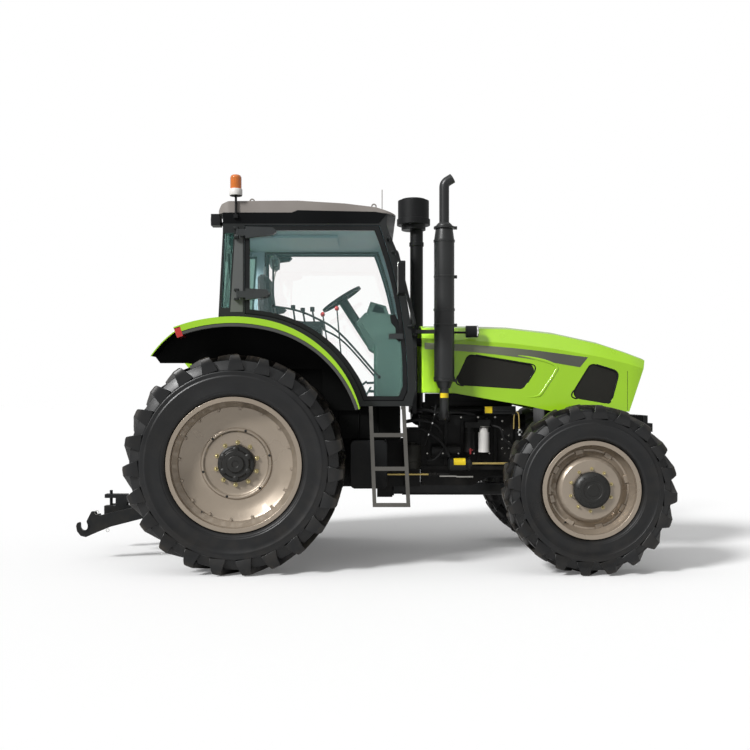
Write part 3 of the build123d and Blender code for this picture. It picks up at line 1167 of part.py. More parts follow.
BAR_TOP = 458
with BuildPart() as drawbar:
    block((REAR_AXLE_X - 1351, REAR_AXLE_X - 120), (-DRAWBAR_HALF, DRAWBAR_HALF), (375, BAR_TOP))
    block((REAR_AXLE_X - 1245, REAR_AXLE_X - 1143), (-DRAWBAR_HALF, DRAWBAR_HALF), (BAR_TOP, 530))
    block((REAR_AXLE_X - 1346, REAR_AXLE_X - 1143), (-DRAWBAR_HALF, DRAWBAR_HALF), (530, 565))
    block((REAR_AXLE_X - 300, REAR_AXLE_X - 120), (-DRAWBAR_HALF, DRAWBAR_HALF), (BAR_TOP, 620))
    block((REAR_AXLE_X - 320, REAR_AXLE_X - 290), (-140, 140), (BAR_TOP, 620))
    pin_x = REAR_AXLE_X - 1296
    bar((pin_x, 0, 360), (pin_x, 0, 600), 14)
pieces["drawbar"] = drawbar

for name, piece in pieces.items():
    piece.part.label = name
    export_step(piece.part, f"parts/{name}.step")
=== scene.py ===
"""Farm tractor: finishes, tread, fasteners, glazing details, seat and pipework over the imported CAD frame.

Metres, in the CAD's own frame: +X forward, +Y to the driver's left, +Z up.
"""

import json
import math

import bmesh
import bpy
from mathutils import Matrix, Vector
from mathutils.bvhtree import BVHTree


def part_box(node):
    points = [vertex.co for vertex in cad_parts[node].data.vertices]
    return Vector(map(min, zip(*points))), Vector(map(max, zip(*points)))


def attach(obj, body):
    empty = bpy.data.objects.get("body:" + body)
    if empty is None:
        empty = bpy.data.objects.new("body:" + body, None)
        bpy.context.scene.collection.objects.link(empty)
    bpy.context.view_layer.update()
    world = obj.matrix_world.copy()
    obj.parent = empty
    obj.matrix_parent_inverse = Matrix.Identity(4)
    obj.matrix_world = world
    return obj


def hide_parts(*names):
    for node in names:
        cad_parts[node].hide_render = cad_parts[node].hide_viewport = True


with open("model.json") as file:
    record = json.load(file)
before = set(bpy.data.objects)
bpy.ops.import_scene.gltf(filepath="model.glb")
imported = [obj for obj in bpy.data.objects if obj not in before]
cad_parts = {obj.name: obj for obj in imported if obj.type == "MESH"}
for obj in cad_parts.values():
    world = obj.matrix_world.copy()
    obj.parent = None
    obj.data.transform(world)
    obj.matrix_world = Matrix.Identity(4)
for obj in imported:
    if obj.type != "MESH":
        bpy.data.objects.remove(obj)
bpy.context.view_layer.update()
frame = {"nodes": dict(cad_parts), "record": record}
nodes = frame["nodes"]
bodies = frame["record"]["behaviour"]["bodies"]
body_of_node = {member: body for body, members in bodies.items() for member in members}
SIDES = (("right", -1), ("left", 1))


def middle(node):
    """Centre of a CAD node's box."""
    low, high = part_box(node)
    return (Vector(low) + Vector(high)) / 2


REAR_X = middle("hub_rear_right").x
FRONT_X = middle("hub_front_right").x


def at(x, y, z):
    """Point from millimetres: x forward of the rear axle, y to the left, z above the ground."""
    return Vector((REAR_X + x / 1000, y / 1000, z / 1000))


# ------------------------------------------------------------------ node trees


def start_tree(name, kind, inputs, outputs):
    """Starts a node group with named sockets; returns the tree with its input and output nodes."""
    tree = bpy.data.node_groups.new(name, kind)
    for label, socket_kind, value in inputs:
        socket = tree.interface.new_socket(label, in_out="INPUT", socket_type=socket_kind)
        if value is not None:
            socket.default_value = value
    for label, socket_kind in outputs:
        tree.interface.new_socket(label, in_out="OUTPUT", socket_type=socket_kind)
    return tree, tree.nodes.new("NodeGroupInput"), tree.nodes.new("NodeGroupOutput")


def node(tree, kind, inputs=None, **settings):
    """Adds a node, sets its properties, and links or fills its inputs."""
    made = tree.nodes.new(kind)
    for key, value in settings.items():
        setattr(made, key, value)
    for key, value in (inputs or {}).items():
        if isinstance(value, bpy.types.NodeSocket):
            tree.links.new(value, made.inputs[key])
        else:
            made.inputs[key].default_value = value
    return made


def math_node(tree, operation, first, second=0.0, clamp=False):
    """Adds a Math node and returns its output."""
    made = node(tree, "ShaderNodeMath", {0: first, 1: second}, operation=operation, use_clamp=clamp)
    return made.outputs[0]


def ramp(tree, value, low, high, low_out=0.0, high_out=1.0):
    """Maps a value between two limits and returns the output."""
    limits = {"Value": value, "From Min": low, "From Max": high, "To Min": low_out, "To Max": high_out}
    return node(tree, "ShaderNodeMapRange", limits).outputs[0]


def mix_colours(tree, factor, first, second):
    """Mixes two colours and returns the output; the Mix node's sockets are taken by place."""
    return node(tree, "ShaderNodeMix", {0: factor, 6: first, 7: second}, data_type="RGBA").outputs[2]


def make_grain_group():
    """Fine moulded or cast grain: a height, and a mask for patches of lighter or darker finish."""
    inputs = [("Scale", "NodeSocketFloat", 400.0), ("Depth", "NodeSocketFloat", 1.0)]
    outputs = [("Height", "NodeSocketFloat"), ("Patches", "NodeSocketFloat")]
    tree, given, out = start_tree("grain", "ShaderNodeTree", inputs, outputs)
    place = node(tree, "ShaderNodeTexCoord").outputs["Object"]
    fine = node(tree, "ShaderNodeTexNoise", {"Vector": place, "Scale": given.outputs["Scale"], "Detail": 3.0})
    broad = node(tree, "ShaderNodeTexNoise", {"Vector": place, "Scale": 2.3, "Detail": 4.0})
    height = math_node(tree, "MULTIPLY", fine.outputs["Fac"], given.outputs["Depth"])
    tree.links.new(height, out.inputs["Height"])
    tree.links.new(broad.outputs["Fac"], out.inputs["Patches"])
    return tree


def make_dust_group():
    """Thin dust that settles low on the machine: a mask from 0, clean, to 1."""
    inputs = [("Amount", "NodeSocketFloat", 0.3), ("Top", "NodeSocketFloat", 1.2)]
    tree, given, out = start_tree("settled_dust", "ShaderNodeTree", inputs, [("Mask", "NodeSocketFloat")])
    place = node(tree, "ShaderNodeTexCoord").outputs["Object"]
    axes = node(tree, "ShaderNodeSeparateXYZ", {0: place})
    height = ramp(tree, axes.outputs["Z"], 0.0, given.outputs["Top"], 1.0, 0.0)
    cloud = node(tree, "ShaderNodeTexNoise", {"Vector": place, "Scale": 9.0, "Detail": 6.0})
    both = math_node(tree, "MULTIPLY", height, ramp(tree, cloud.outputs["Fac"], 0.42, 0.7))
    tree.links.new(math_node(tree, "MULTIPLY", both, given.outputs["Amount"], True), out.inputs["Mask"])
    return tree


def make_tread_soil_group():
    """Dry soil rubbed onto a tyre's lug tips: a mask by distance from the axle."""
    inputs = [
        ("Axle", "NodeSocketVector", (0, 0, 0)),
        ("From", "NodeSocketFloat", 0.8),
        ("To", "NodeSocketFloat", 0.9),
    ]
    tree, given, out = start_tree("tread_soil", "ShaderNodeTree", inputs, [("Mask", "NodeSocketFloat")])
    place = node(tree, "ShaderNodeTexCoord").outputs["Object"]
    offset = node(tree, "ShaderNodeVectorMath", {0: place, 1: given.outputs["Axle"]}, operation="SUBTRACT")
    flat = node(tree, "ShaderNodeVectorMath", {0: offset.outputs[0], 1: (1, 0, 1)}, operation="MULTIPLY")
    distance = node(tree, "ShaderNodeVectorMath", {0: flat.outputs[0]}, operation="LENGTH").outputs["Value"]
    edge = ramp(tree, distance, given.outputs["From"], given.outputs["To"])
    cloud = node(tree, "ShaderNodeTexNoise", {"Vector": place, "Scale": 14.0, "Detail": 6.0})
    blotches = ramp(tree, cloud.outputs["Fac"], 0.35, 0.72)
    tree.links.new(math_node(tree, "MULTIPLY", edge, blotches, True), out.inputs["Mask"])
    return tree


GRAIN = make_grain_group()
DUST = make_dust_group()
TREAD_SOIL = make_tread_soil_group()


def make_ring_tree():
    """Repeats the drawn item evenly round an axle along Y."""
    inputs = [
        ("Geometry", "NodeSocketGeometry", None),
        ("Count", "NodeSocketInt", 10),
        ("Phase", "NodeSocketFloat", 0.0),
        ("Centre", "NodeSocketVector", (0, 0, 0)),
        ("Finish", "NodeSocketMaterial", None),
    ]
    outputs = [("Geometry", "NodeSocketGeometry")]
    tree, given, out = start_tree("ring_of_items", "GeometryNodeTree", inputs, outputs)
    starts = {"Count": given.outputs["Count"], "Start Location": given.outputs["Centre"], "Offset": (0, 0, 0)}
    line = node(tree, "GeometryNodeMeshLine", starts)
    step = math_node(tree, "DIVIDE", 2 * math.pi, given.outputs["Count"])
    turned = math_node(tree, "MULTIPLY", node(tree, "GeometryNodeInputIndex").outputs[0], step)
    angle = math_node(tree, "ADD", turned, given.outputs["Phase"])
    rotation = node(tree, "ShaderNodeCombineXYZ", {"Y": angle}).outputs[0]
    placing = {"Points": line.outputs[0], "Instance": given.outputs["Geometry"], "Rotation": rotation}
    copies = node(tree, "GeometryNodeInstanceOnPoints", placing)
    real = node(tree, "GeometryNodeRealizeInstances", {0: copies.outputs[0]})
    finish = {"Geometry": real.outputs[0], "Material": given.outputs["Finish"]}
    painted = node(tree, "GeometryNodeSetMaterial", finish)
    tree.links.new(painted.outputs[0], out.inputs[0])
    return tree


RING = make_ring_tree()

# ------------------------------------------------------------------ materials
SOIL = (0.16, 0.13, 0.095, 1.0)


def start_material(name, colour, roughness, metallic=0.0, coat=0.0, **sockets):
    """Material with a Principled shader; returns material, tree and shader."""
    material = bpy.data.materials.new(name)
    material.use_nodes = True
    tree = material.node_tree
    shader = tree.nodes["Principled BSDF"]
    shader.inputs["Base Color"].default_value = (*colour, 1.0)
    shader.inputs["Roughness"].default_value = roughness
    shader.inputs["Metallic"].default_value = metallic
    shader.inputs["Coat Weight"].default_value = coat
    for key, value in sockets.items():
        shader.inputs[key.replace("_", " ")].default_value = value
    material.diffuse_color = (*colour, 1.0)
    return material, tree, shader


def add_bump(tree, shader, height, strength, distance):
    """Links a height to the shader's normal through a bump."""
    bumped = node(tree, "ShaderNodeBump", {"Height": height, "Strength": strength, "Distance": distance})
    tree.links.new(bumped.outputs["Normal"], shader.inputs["Normal"])


def finish_surface(name, colour, roughness, metallic=0.0, coat=0.0, grain=400.0, depth=0.15, bump=0.0004,
                   patches=0.06, dust=0.0, dust_top=1.2, spread=0.08, soil=None, fade=None, **sockets):
    """Painted, cast or moulded finish: grain in the bump, soft patches in colour and gloss, dust low down.

    soil is (axle point, inner radius, outer radius) of a tyre; fade is (from x, to x, colour at the far end).
    """
    material, tree, shader = start_material(name, colour, roughness, metallic, coat, **sockets)
    grained = node(tree, "ShaderNodeGroup", node_tree=GRAIN)
    grained.inputs["Scale"].default_value = grain
    grained.inputs["Depth"].default_value = depth
    add_bump(tree, shader, grained.outputs["Height"], 0.6, bump)
    cloud = ramp(tree, grained.outputs["Patches"], 0.35, 0.65)
    lighter = (*[min(1.0, c * (1 + patches)) for c in colour], 1.0)
    darker = (*[c * (1 - patches) for c in colour], 1.0)
    shown = mix_colours(tree, cloud, darker, lighter)
    if fade:
        axes = node(tree, "ShaderNodeSeparateXYZ", {0: node(tree, "ShaderNodeTexCoord").outputs["Object"]})
        far = ramp(tree, axes.outputs["X"], fade[0], fade[1])
        shown = mix_colours(tree, far, shown, (*fade[2], 1.0))
    if dust:
        dusty = node(tree, "ShaderNodeGroup", node_tree=DUST)
        dusty.inputs["Amount"].default_value = dust
        dusty.inputs["Top"].default_value = dust_top
        shown = mix_colours(tree, dusty.outputs["Mask"], shown, SOIL)
    if soil:
        soiled = node(tree, "ShaderNodeGroup", node_tree=TREAD_SOIL)
        for label, value in zip(("Axle", "From", "To"), soil):
            soiled.inputs[label].default_value = value
        worn = math_node(tree, "MULTIPLY", soiled.outputs["Mask"], 0.28)
        shown = mix_colours(tree, worn, shown, SOIL)
    tree.links.new(shown, shader.inputs["Base Color"])
    smoothest, roughest = max(0.02, roughness - spread), min(1.0, roughness + spread)
    gloss = ramp(tree, grained.outputs["Patches"], 0.3, 0.7, smoothest, roughest)
    tree.links.new(gloss, shader.inputs["Roughness"])
    return material


def glass_material(name, colour):
    """Pane that lets light through to what is behind it, with a faint ripple in its reflections."""
    material, tree, shader = start_material(name, colour, 0.0, Transmission_Weight=1.0, IOR=1.5,
                                            Specular_Tint=(0.6, 1.0, 0.97, 1.0))
    clear = node(tree, "ShaderNodeBsdfTransparent", {"Color": (*colour, 1.0)})
    rays = node(tree, "ShaderNodeLightPath")
    surface = {0: rays.outputs["Is Shadow Ray"], 1: shader.outputs[0], 2: clear.outputs[0]}
    mixed = node(tree, "ShaderNodeMixShader", surface)
    tree.links.new(mixed.outputs[0], tree.nodes["Material Output"].inputs["Surface"])
    grained = node(tree, "ShaderNodeGroup", node_tree=GRAIN)
    grained.inputs["Scale"].default_value = 3.0
    grained.inputs["Depth"].default_value = 0.2
    add_bump(tree, shader, grained.outputs["Height"], 0.1, 0.0003)
    return material


def mesh_material(name, pitch=0.0085):
    """Black perforated sheet: rows of round holes, painted near-black for the shade inside them and bumped to look
    sunk.
    """
    material, tree, shader = start_material(name, (0.02, 0.02, 0.018), 0.5, Specular_IOR_Level=0.15)
    axes = node(tree, "ShaderNodeSeparateXYZ", {0: node(tree, "ShaderNodeTexCoord").outputs["Object"]})
    flat = node(tree, "ShaderNodeCombineXYZ", {"X": axes.outputs["X"], "Y": axes.outputs["Z"]})
    turned = node(tree, "ShaderNodeMapping",
                  {"Vector": flat.outputs[0], "Rotation": (0, 0, math.pi / 4), "Scale": (1 / pitch, 1 / pitch, 1)})
    cells = node(tree, "ShaderNodeTexVoronoi", {"Vector": turned.outputs[0], "Scale": 1.0, "Randomness": 0.0},
                 voronoi_dimensions="2D")
    holes = ramp(tree, cells.outputs["Distance"], 0.3, 0.36)
    # holes near-black: painted shade inside the holes
    shown = mix_colours(tree, holes, (0.004, 0.004, 0.004, 1), (0.03, 0.029, 0.024, 1))
    tree.links.new(shown, shader.inputs["Base Color"])
    add_bump(tree, shader, holes, 0.5, 0.002)
    return material


def weave_material(name, colour, pitch=0.0045):
    """Woven seat cloth: crossed bands of thread with a soft sheen."""
    material, tree, shader = start_material(name, colour, 0.85, Sheen_Weight=0.3)
    place = node(tree, "ShaderNodeTexCoord").outputs["Object"]
    bands = [
        node(tree, "ShaderNodeTexWave", {"Vector": place, "Scale": 1 / pitch / (2 * math.pi)},
             wave_type="BANDS", bands_direction=way).outputs["Fac"]
        for way in "XYZ"
    ]
    crossed = math_node(tree, "MULTIPLY", math_node(tree, "MAXIMUM", bands[0], bands[1]), bands[2])
    shown = mix_colours(tree, crossed, (*[c * 0.6 for c in colour], 1), (*[c * 1.5 for c in colour], 1))
    tree.links.new(shown, shader.inputs["Base Color"])
    add_bump(tree, shader, crossed, 0.6, 0.0012)
    return material


lime_paint = finish_surface("lime_paint", (0.355, 0.66, 0.012), 0.30, coat=0.6, grain=60.0, depth=0.3, bump=0.0003,
                            patches=0.03, spread=0.04, Coat_Roughness=0.08)
black_paint = finish_surface("black_paint", (0.008, 0.009, 0.0095), 0.36, grain=150.0, dust=0.12,
                             Specular_IOR_Level=0.25)
cab_paint = finish_surface("cab_paint", (0.016, 0.018, 0.018), 0.36, grain=150.0, Specular_IOR_Level=0.3)
roof_band = finish_surface("roof_band", (0.003, 0.0035, 0.004), 0.4, grain=300.0, Specular_IOR_Level=0.1)
pillar_grey = finish_surface("pillar_grey", (0.105, 0.11, 0.108), 0.4, grain=300.0)
trim_grey = finish_surface("trim_grey", (0.055, 0.056, 0.05), 0.45, grain=300.0)
stack_paint = finish_surface("stack_paint", (0.02, 0.021, 0.021), 0.36, grain=90.0, depth=0.4,
                             Specular_IOR_Level=0.4)
dark_casting = finish_surface("dark_casting", (0.007, 0.007, 0.0068), 0.55, grain=220.0, depth=1.0, bump=0.0012,
                              patches=0.4, dust=0.12, Specular_IOR_Level=0.2)
drum_paint = finish_surface("drum_paint", (0.022, 0.021, 0.017), 0.5, grain=220.0, depth=0.8, patches=0.3,
                            Specular_IOR_Level=0.2)
black_plastic = finish_surface("black_plastic", (0.007, 0.0075, 0.008), 0.48, grain=700.0, depth=0.8, bump=0.0006,
                               dust=0.1, Specular_IOR_Level=0.2)
# near-black, darker than black_plastic: painted shade where it lines the fender hollows and inner walls and fills
# the dark gaps under the cab
painted_shade_black = finish_surface("painted_shade_black", (0.0016, 0.0018, 0.0016), 0.6, grain=400.0, Specular_IOR_Level=0.08)
grey_plastic = finish_surface("grey_plastic", (0.03, 0.033, 0.034), 0.42, grain=500.0, depth=0.6,
                              Specular_IOR_Level=0.35)
rubber = finish_surface("rubber", (0.008, 0.008, 0.008), 0.6, grain=500.0, depth=0.5, Specular_IOR_Level=0.25)
TYRE_LOOK = dict(roughness=0.38, grain=300.0, depth=0.6, bump=0.0006, patches=0.3, dust=0.06, dust_top=1.8,
                 spread=0.12, Specular_IOR_Level=0.4)
tyre_rubber = {
    "rear": finish_surface("tyre_rubber_rear", (0.0042, 0.0045, 0.005), soil=((REAR_X, 0, 0.91), 0.86, 0.905),
                           **TYRE_LOOK),
    "front": finish_surface("tyre_rubber_front", (0.0042, 0.0045, 0.005), soil=((FRONT_X, 0, 0.7025), 0.66, 0.7),
                            **TYRE_LOOK),
}
wheel_paint = finish_surface("wheel_paint", (0.33, 0.275, 0.215), 0.32, metallic=0.45, grain=120.0, depth=0.4,
                             patches=0.05, coat=0.25)
gilt_plating = finish_surface("gilt_plating", (0.55, 0.47, 0.24), 0.3, metallic=0.85, grain=200.0)
gilt_pipe = finish_surface("gilt_pipe", (0.62, 0.47, 0.16), 0.34, metallic=0.7, grain=200.0)
hub_paint = finish_surface("hub_paint", (0.022, 0.0215, 0.02), 0.42, metallic=0.2, grain=150.0, depth=0.6,
                           patches=0.2, Specular_IOR_Level=0.35)
ladder_paint = finish_surface("ladder_paint", (0.105, 0.10, 0.09), 0.4, metallic=0.4, grain=160.0, patches=0.12)
roof_plastic = finish_surface("roof_plastic", (0.27, 0.243, 0.222), 0.34, grain=260.0, depth=0.3, coat=0.25)
console_plastic = finish_surface("console_plastic", (0.026, 0.07, 0.054), 0.5, grain=900.0, depth=0.7, bump=0.0005)
# light teal over the cab's dark inner faces: painted reflection, the bright veil the glass lays over the interior
glass_veil_teal = finish_surface("glass_veil_teal", (0.24, 0.38, 0.42), 0.55, grain=600.0, depth=0.5, patches=0.1)
lamp_lens = finish_surface("lamp_lens", (0.75, 0.78, 0.8), 0.12, metallic=0.6, grain=140.0, depth=1.0, bump=0.002)
bright_trim = finish_surface("bright_trim", (0.78, 0.78, 0.77), 0.16, metallic=1.0, grain=300.0, depth=0.2)
red_lens = finish_surface("red_lens", (0.55, 0.012, 0.01), 0.15, coat=1.0, grain=120.0, depth=0.8, bump=0.001)
red_knob = finish_surface("red_knob", (0.30, 0.012, 0.014), 0.35, grain=300.0)
amber_lens = finish_surface("amber_lens", (0.85, 0.22, 0.01), 0.15, coat=1.0, grain=60.0, depth=0.8, bump=0.001,
                            Transmission_Weight=0.3)
white_paint = finish_surface("white_paint", (0.80, 0.78, 0.75), 0.3, grain=200.0)
plate_yellow = finish_surface("plate_yellow", (0.90, 0.66, 0.012), 0.4, grain=200.0)
steel = finish_surface("steel", (0.42, 0.41, 0.38), 0.32, metallic=1.0, grain=350.0, depth=0.6)
clear_glass = glass_material("clear_glass", (0.99, 1.0, 0.995))
quarter_glass = glass_material("quarter_glass", (0.16, 0.29, 0.25))
mesh_metal = mesh_material("mesh_metal")
seat_fabric = weave_material("seat_fabric", (0.02, 0.024, 0.026))
headrest_fabric = weave_material("headrest_fabric", (0.10, 0.16, 0.155))
stripe_grey = finish_surface("stripe_grey", (0.235, 0.26, 0.16), 0.38, grain=90.0, coat=0.3,
                             fade=(REAR_X + 1.7, REAR_X + 2.75, (0.075, 0.08, 0.062)))

slot_material = {
    "tyre_rubber": tyre_rubber["rear"], "wheel_paint": wheel_paint, "dark_casting": dark_casting,
    "green_paint": lime_paint, "black_paint": black_paint, "black_plastic": black_plastic,
    "roof_plastic": roof_plastic, "tinted_glass": clear_glass, "seat_fabric": seat_fabric,
    "console_plastic": console_plastic, "mesh_metal": mesh_metal, "lamp_lens": lamp_lens, "red_lens": red_lens,
    "amber_lens": amber_lens, "white_paint": white_paint, "steel": steel,
}
own_finish = {
    "exhaust": stack_paint,
    "steps": ladder_paint,
    "cab_frame": cab_paint,
    "fender_trims": trim_grey,
    # cab tub in near-black: painted shade for the dark gap below the cab
    "cab_tub": painted_shade_black,
    **{f"hub_{axle}_{hand}": hub_paint for axle in ("rear", "front") for hand, side in SIDES},
}

# ------------------------------------------------------------------ piece making


def as_mesh(name, work):
    """Mesh from a bmesh, which is freed."""
    mesh = bpy.data.meshes.new(name)
    work.to_mesh(mesh)
    work.free()
    return mesh


def placed(name, data):
    """New object in the scene."""
    made = bpy.data.objects.new(name, data)
    bpy.context.scene.collection.objects.link(made)
    return made


def settled(holder):
    """Mesh of an object with its modifiers applied."""
    return bpy.data.meshes.new_from_object(holder.evaluated_get(bpy.context.evaluated_depsgraph_get()))


def add_piece(name, work, material, body, sharp=32, slot=None, bevel=0.0, segments=2):
    """Turns a bmesh into a piece that rides on a body, smooth but for edges sharper than an angle."""
    bmesh.ops.remove_doubles(work, verts=work.verts, dist=1e-6)
    bmesh.ops.recalc_face_normals(work, faces=work.faces)
    mesh = as_mesh(name, work)
    mesh.materials.clear()
    mesh.materials.append(material)
    mesh.polygons.foreach_set("material_index", [0] * len(mesh.polygons))
    mesh.polygons.foreach_set("use_smooth", [True] * len(mesh.polygons))
    mesh.set_sharp_from_angle(angle=math.radians(sharp))
    piece = placed(name, mesh)
    if bevel:
        rounding = piece.modifiers.new("rounding", "BEVEL")
        rounding.width = bevel
        rounding.segments = segments
        rounding.limit_method = "ANGLE"
        rounding.angle_limit = math.radians(sharp)
    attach(piece, body)
    return piece


def repeated(name, work, tree, values, material, body, **finish):
    """Draws one item, repeats it with a geometry tree, and keeps the result as a plain piece."""
    holder = placed(f"{name}_item", as_mesh(f"{name}_item", work))
    repeat = holder.modifiers.new("repeat", "NODES")
    repeat.node_group = tree
    values = {**values, "Finish": material}
    for socket in tree.interface.items_tree:
        if socket.in_out == "INPUT" and socket.name in values:
            repeat[socket.identifier] = values[socket.name]
    result = settled(holder)
    holder.modifiers.remove(repeat)
    bpy.data.objects.remove(holder)
    whole = bmesh.new()
    whole.from_mesh(result)
    return add_piece(name, whole, material, body, **finish)


def dress(node_name, bevel=0.0, sharp=28, material=None):
    """A CAD node's shape with its facets smoothed and its edges rounded, in place of the node."""
    rows = frame["record"]["subparts"]
    slot = next(row["material_slot"] for row in rows if row["node"] == node_name)
    material = material or own_finish.get(node_name) or slot_material[slot]
    work = bmesh.new()
    work.from_mesh(nodes[node_name].data)
    bmesh.ops.remove_doubles(work, verts=work.verts, dist=2e-5)
    bmesh.ops.dissolve_limit(work, angle_limit=math.radians(1.0), verts=work.verts, edges=work.edges)
    piece = add_piece(f"{node_name}_skin", work, material, body_of_node[node_name], sharp, slot, bevel)
    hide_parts(node_name)
    return piece


def second_finish(piece, material, chosen):
    """Gives a second finish to the faces that a test of centre and normal chooses."""
    piece.data.materials.append(material)
    place = len(piece.data.materials) - 1
    for face in piece.data.polygons:
        if chosen(face.center, face.normal):
            face.material_index = place


def add_bar(work, start, end, radius, sides=16, end_radius=None):
    """Round bar or cone between two points."""
    start, end = Vector(start), Vector(end)
    way = end - start
    turn = way.to_track_quat("Z", "Y").to_matrix().to_4x4()
    bmesh.ops.create_cone(work, cap_ends=True, segments=sides, radius1=radius,
                          radius2=radius if end_radius is None else end_radius, depth=way.length,
                          matrix=Matrix.Translation((start + end) / 2) @ turn)


def add_block(work, low, high, matrix=None):
    """Rectangular block between two corners."""
    low, high = Vector(low), Vector(high)
    size = Matrix.Diagonal((*(high - low), 1))
    place = Matrix.Translation((low + high) / 2) @ size
    bmesh.ops.create_cube(work, size=1, matrix=matrix @ place if matrix else place)


def add_plate(work, outline, y_from, y_to):
    """Flat plate with an outline in X and Z, between two Y planes."""
    near = [work.verts.new((x, y_from, z)) for x, z in outline]
    far = [work.verts.new((x, y_to, z)) for x, z in outline]
    work.faces.new(near)
    work.faces.new(far[::-1])
    for n in range(len(outline)):
        m = (n + 1) % len(outline)
        work.faces.new((near[m], near[n], far[n], far[m]))


def skin_rings(work, rings, closed=False):
    """Quads from each ring of vertices to the next, and from the last to the first where closed."""
    following = rings[1:] + rings[:1] if closed else rings[1:]
    for first, second in zip(rings, following):
        for k in range(len(first)):
            m = (k + 1) % len(first)
            work.faces.new((first[k], first[m], second[m], second[k]))


def add_lathe(work, rows, origin, axis, sides=48, closed=False):
    """Turned form about an axis; rows are (radius, distance along the axis)."""
    axis = Vector(axis).normalized()
    across = axis.orthogonal().normalized()
    up = axis.cross(across)
    rings = []
    for radius, along in rows:
        ring = []
        for n in range(sides if radius > 1e-5 else 1):
            angle = 2 * math.pi * n / sides
            radial = (across * math.cos(angle) + up * math.sin(angle)) * radius
            ring.append(work.verts.new(Vector(origin) + axis * along + radial))
        rings.append(ring)
    pairs = list(zip(rings, rings[1:]))
    if closed:
        pairs.append((rings[-1], rings[0]))
    for first, second in pairs:
        for n in range(sides):
            corners = [first[n % len(first)], first[(n + 1) % len(first)],
                       second[(n + 1) % len(second)], second[n % len(second)]]
            work.faces.new(list(dict.fromkeys(corners)))
    if not closed:
        for ring in (rings[0], rings[-1]):
            if len(ring) > 2:
                work.faces.new(ring)


def smooth_line(points, count):
    """Points evenly shared along a smooth curve through the given ones."""
    points = [Vector(p) for p in points]
    ends = [2 * points[0] - points[1], *points, 2 * points[-1] - points[-2]]
    line = []
    for n in range(count):
        place = n * (len(points) - 1) / (count - 1)
        k = min(int(place), len(points) - 2)
        t = place - k
        a, b, c, d = ends[k:k + 4]
        line.append(0.5 * (2 * b + (c - a) * t + (2 * a - 5 * b + 4 * c - d) * t * t
                           + (3 * b - a - 3 * c + d) * t ** 3))
    return line


def add_tube(work, points, radius, sides=10, smooth=True):
    """Round tube along a smooth line through points, closed at its ends."""
    line = [Vector(p) for p in points]
    if smooth and len(points) > 2:
        line = smooth_line(points, 6 * (len(points) - 1) + 1)
    frame_up = None
    rings = []
    for n, place in enumerate(line):
        way = (line[min(n + 1, len(line) - 1)] - line[max(n - 1, 0)]).normalized()
        if frame_up is None:
            frame_up = way.orthogonal().normalized()
        frame_up = (frame_up - way * frame_up.dot(way)).normalized()
        across = way.cross(frame_up)
        ring = []
        for k in range(sides):
            angle = 2 * math.pi * k / sides
            radial = frame_up * math.cos(angle) + across * math.sin(angle)
            ring.append(work.verts.new(place + radial * radius))
        rings.append(ring)
    skin_rings(work, rings)
    work.faces.new(rings[0])
    work.faces.new(rings[-1])


def tube(name, points, radius, material, body, **finish):
    """Pipe, hose or rod piece along a smooth line through points."""
    work = bmesh.new()
    add_tube(work, points, radius)
    return add_piece(name, work, material, body, **finish)


# ------------------------------------------------------------------ wheels


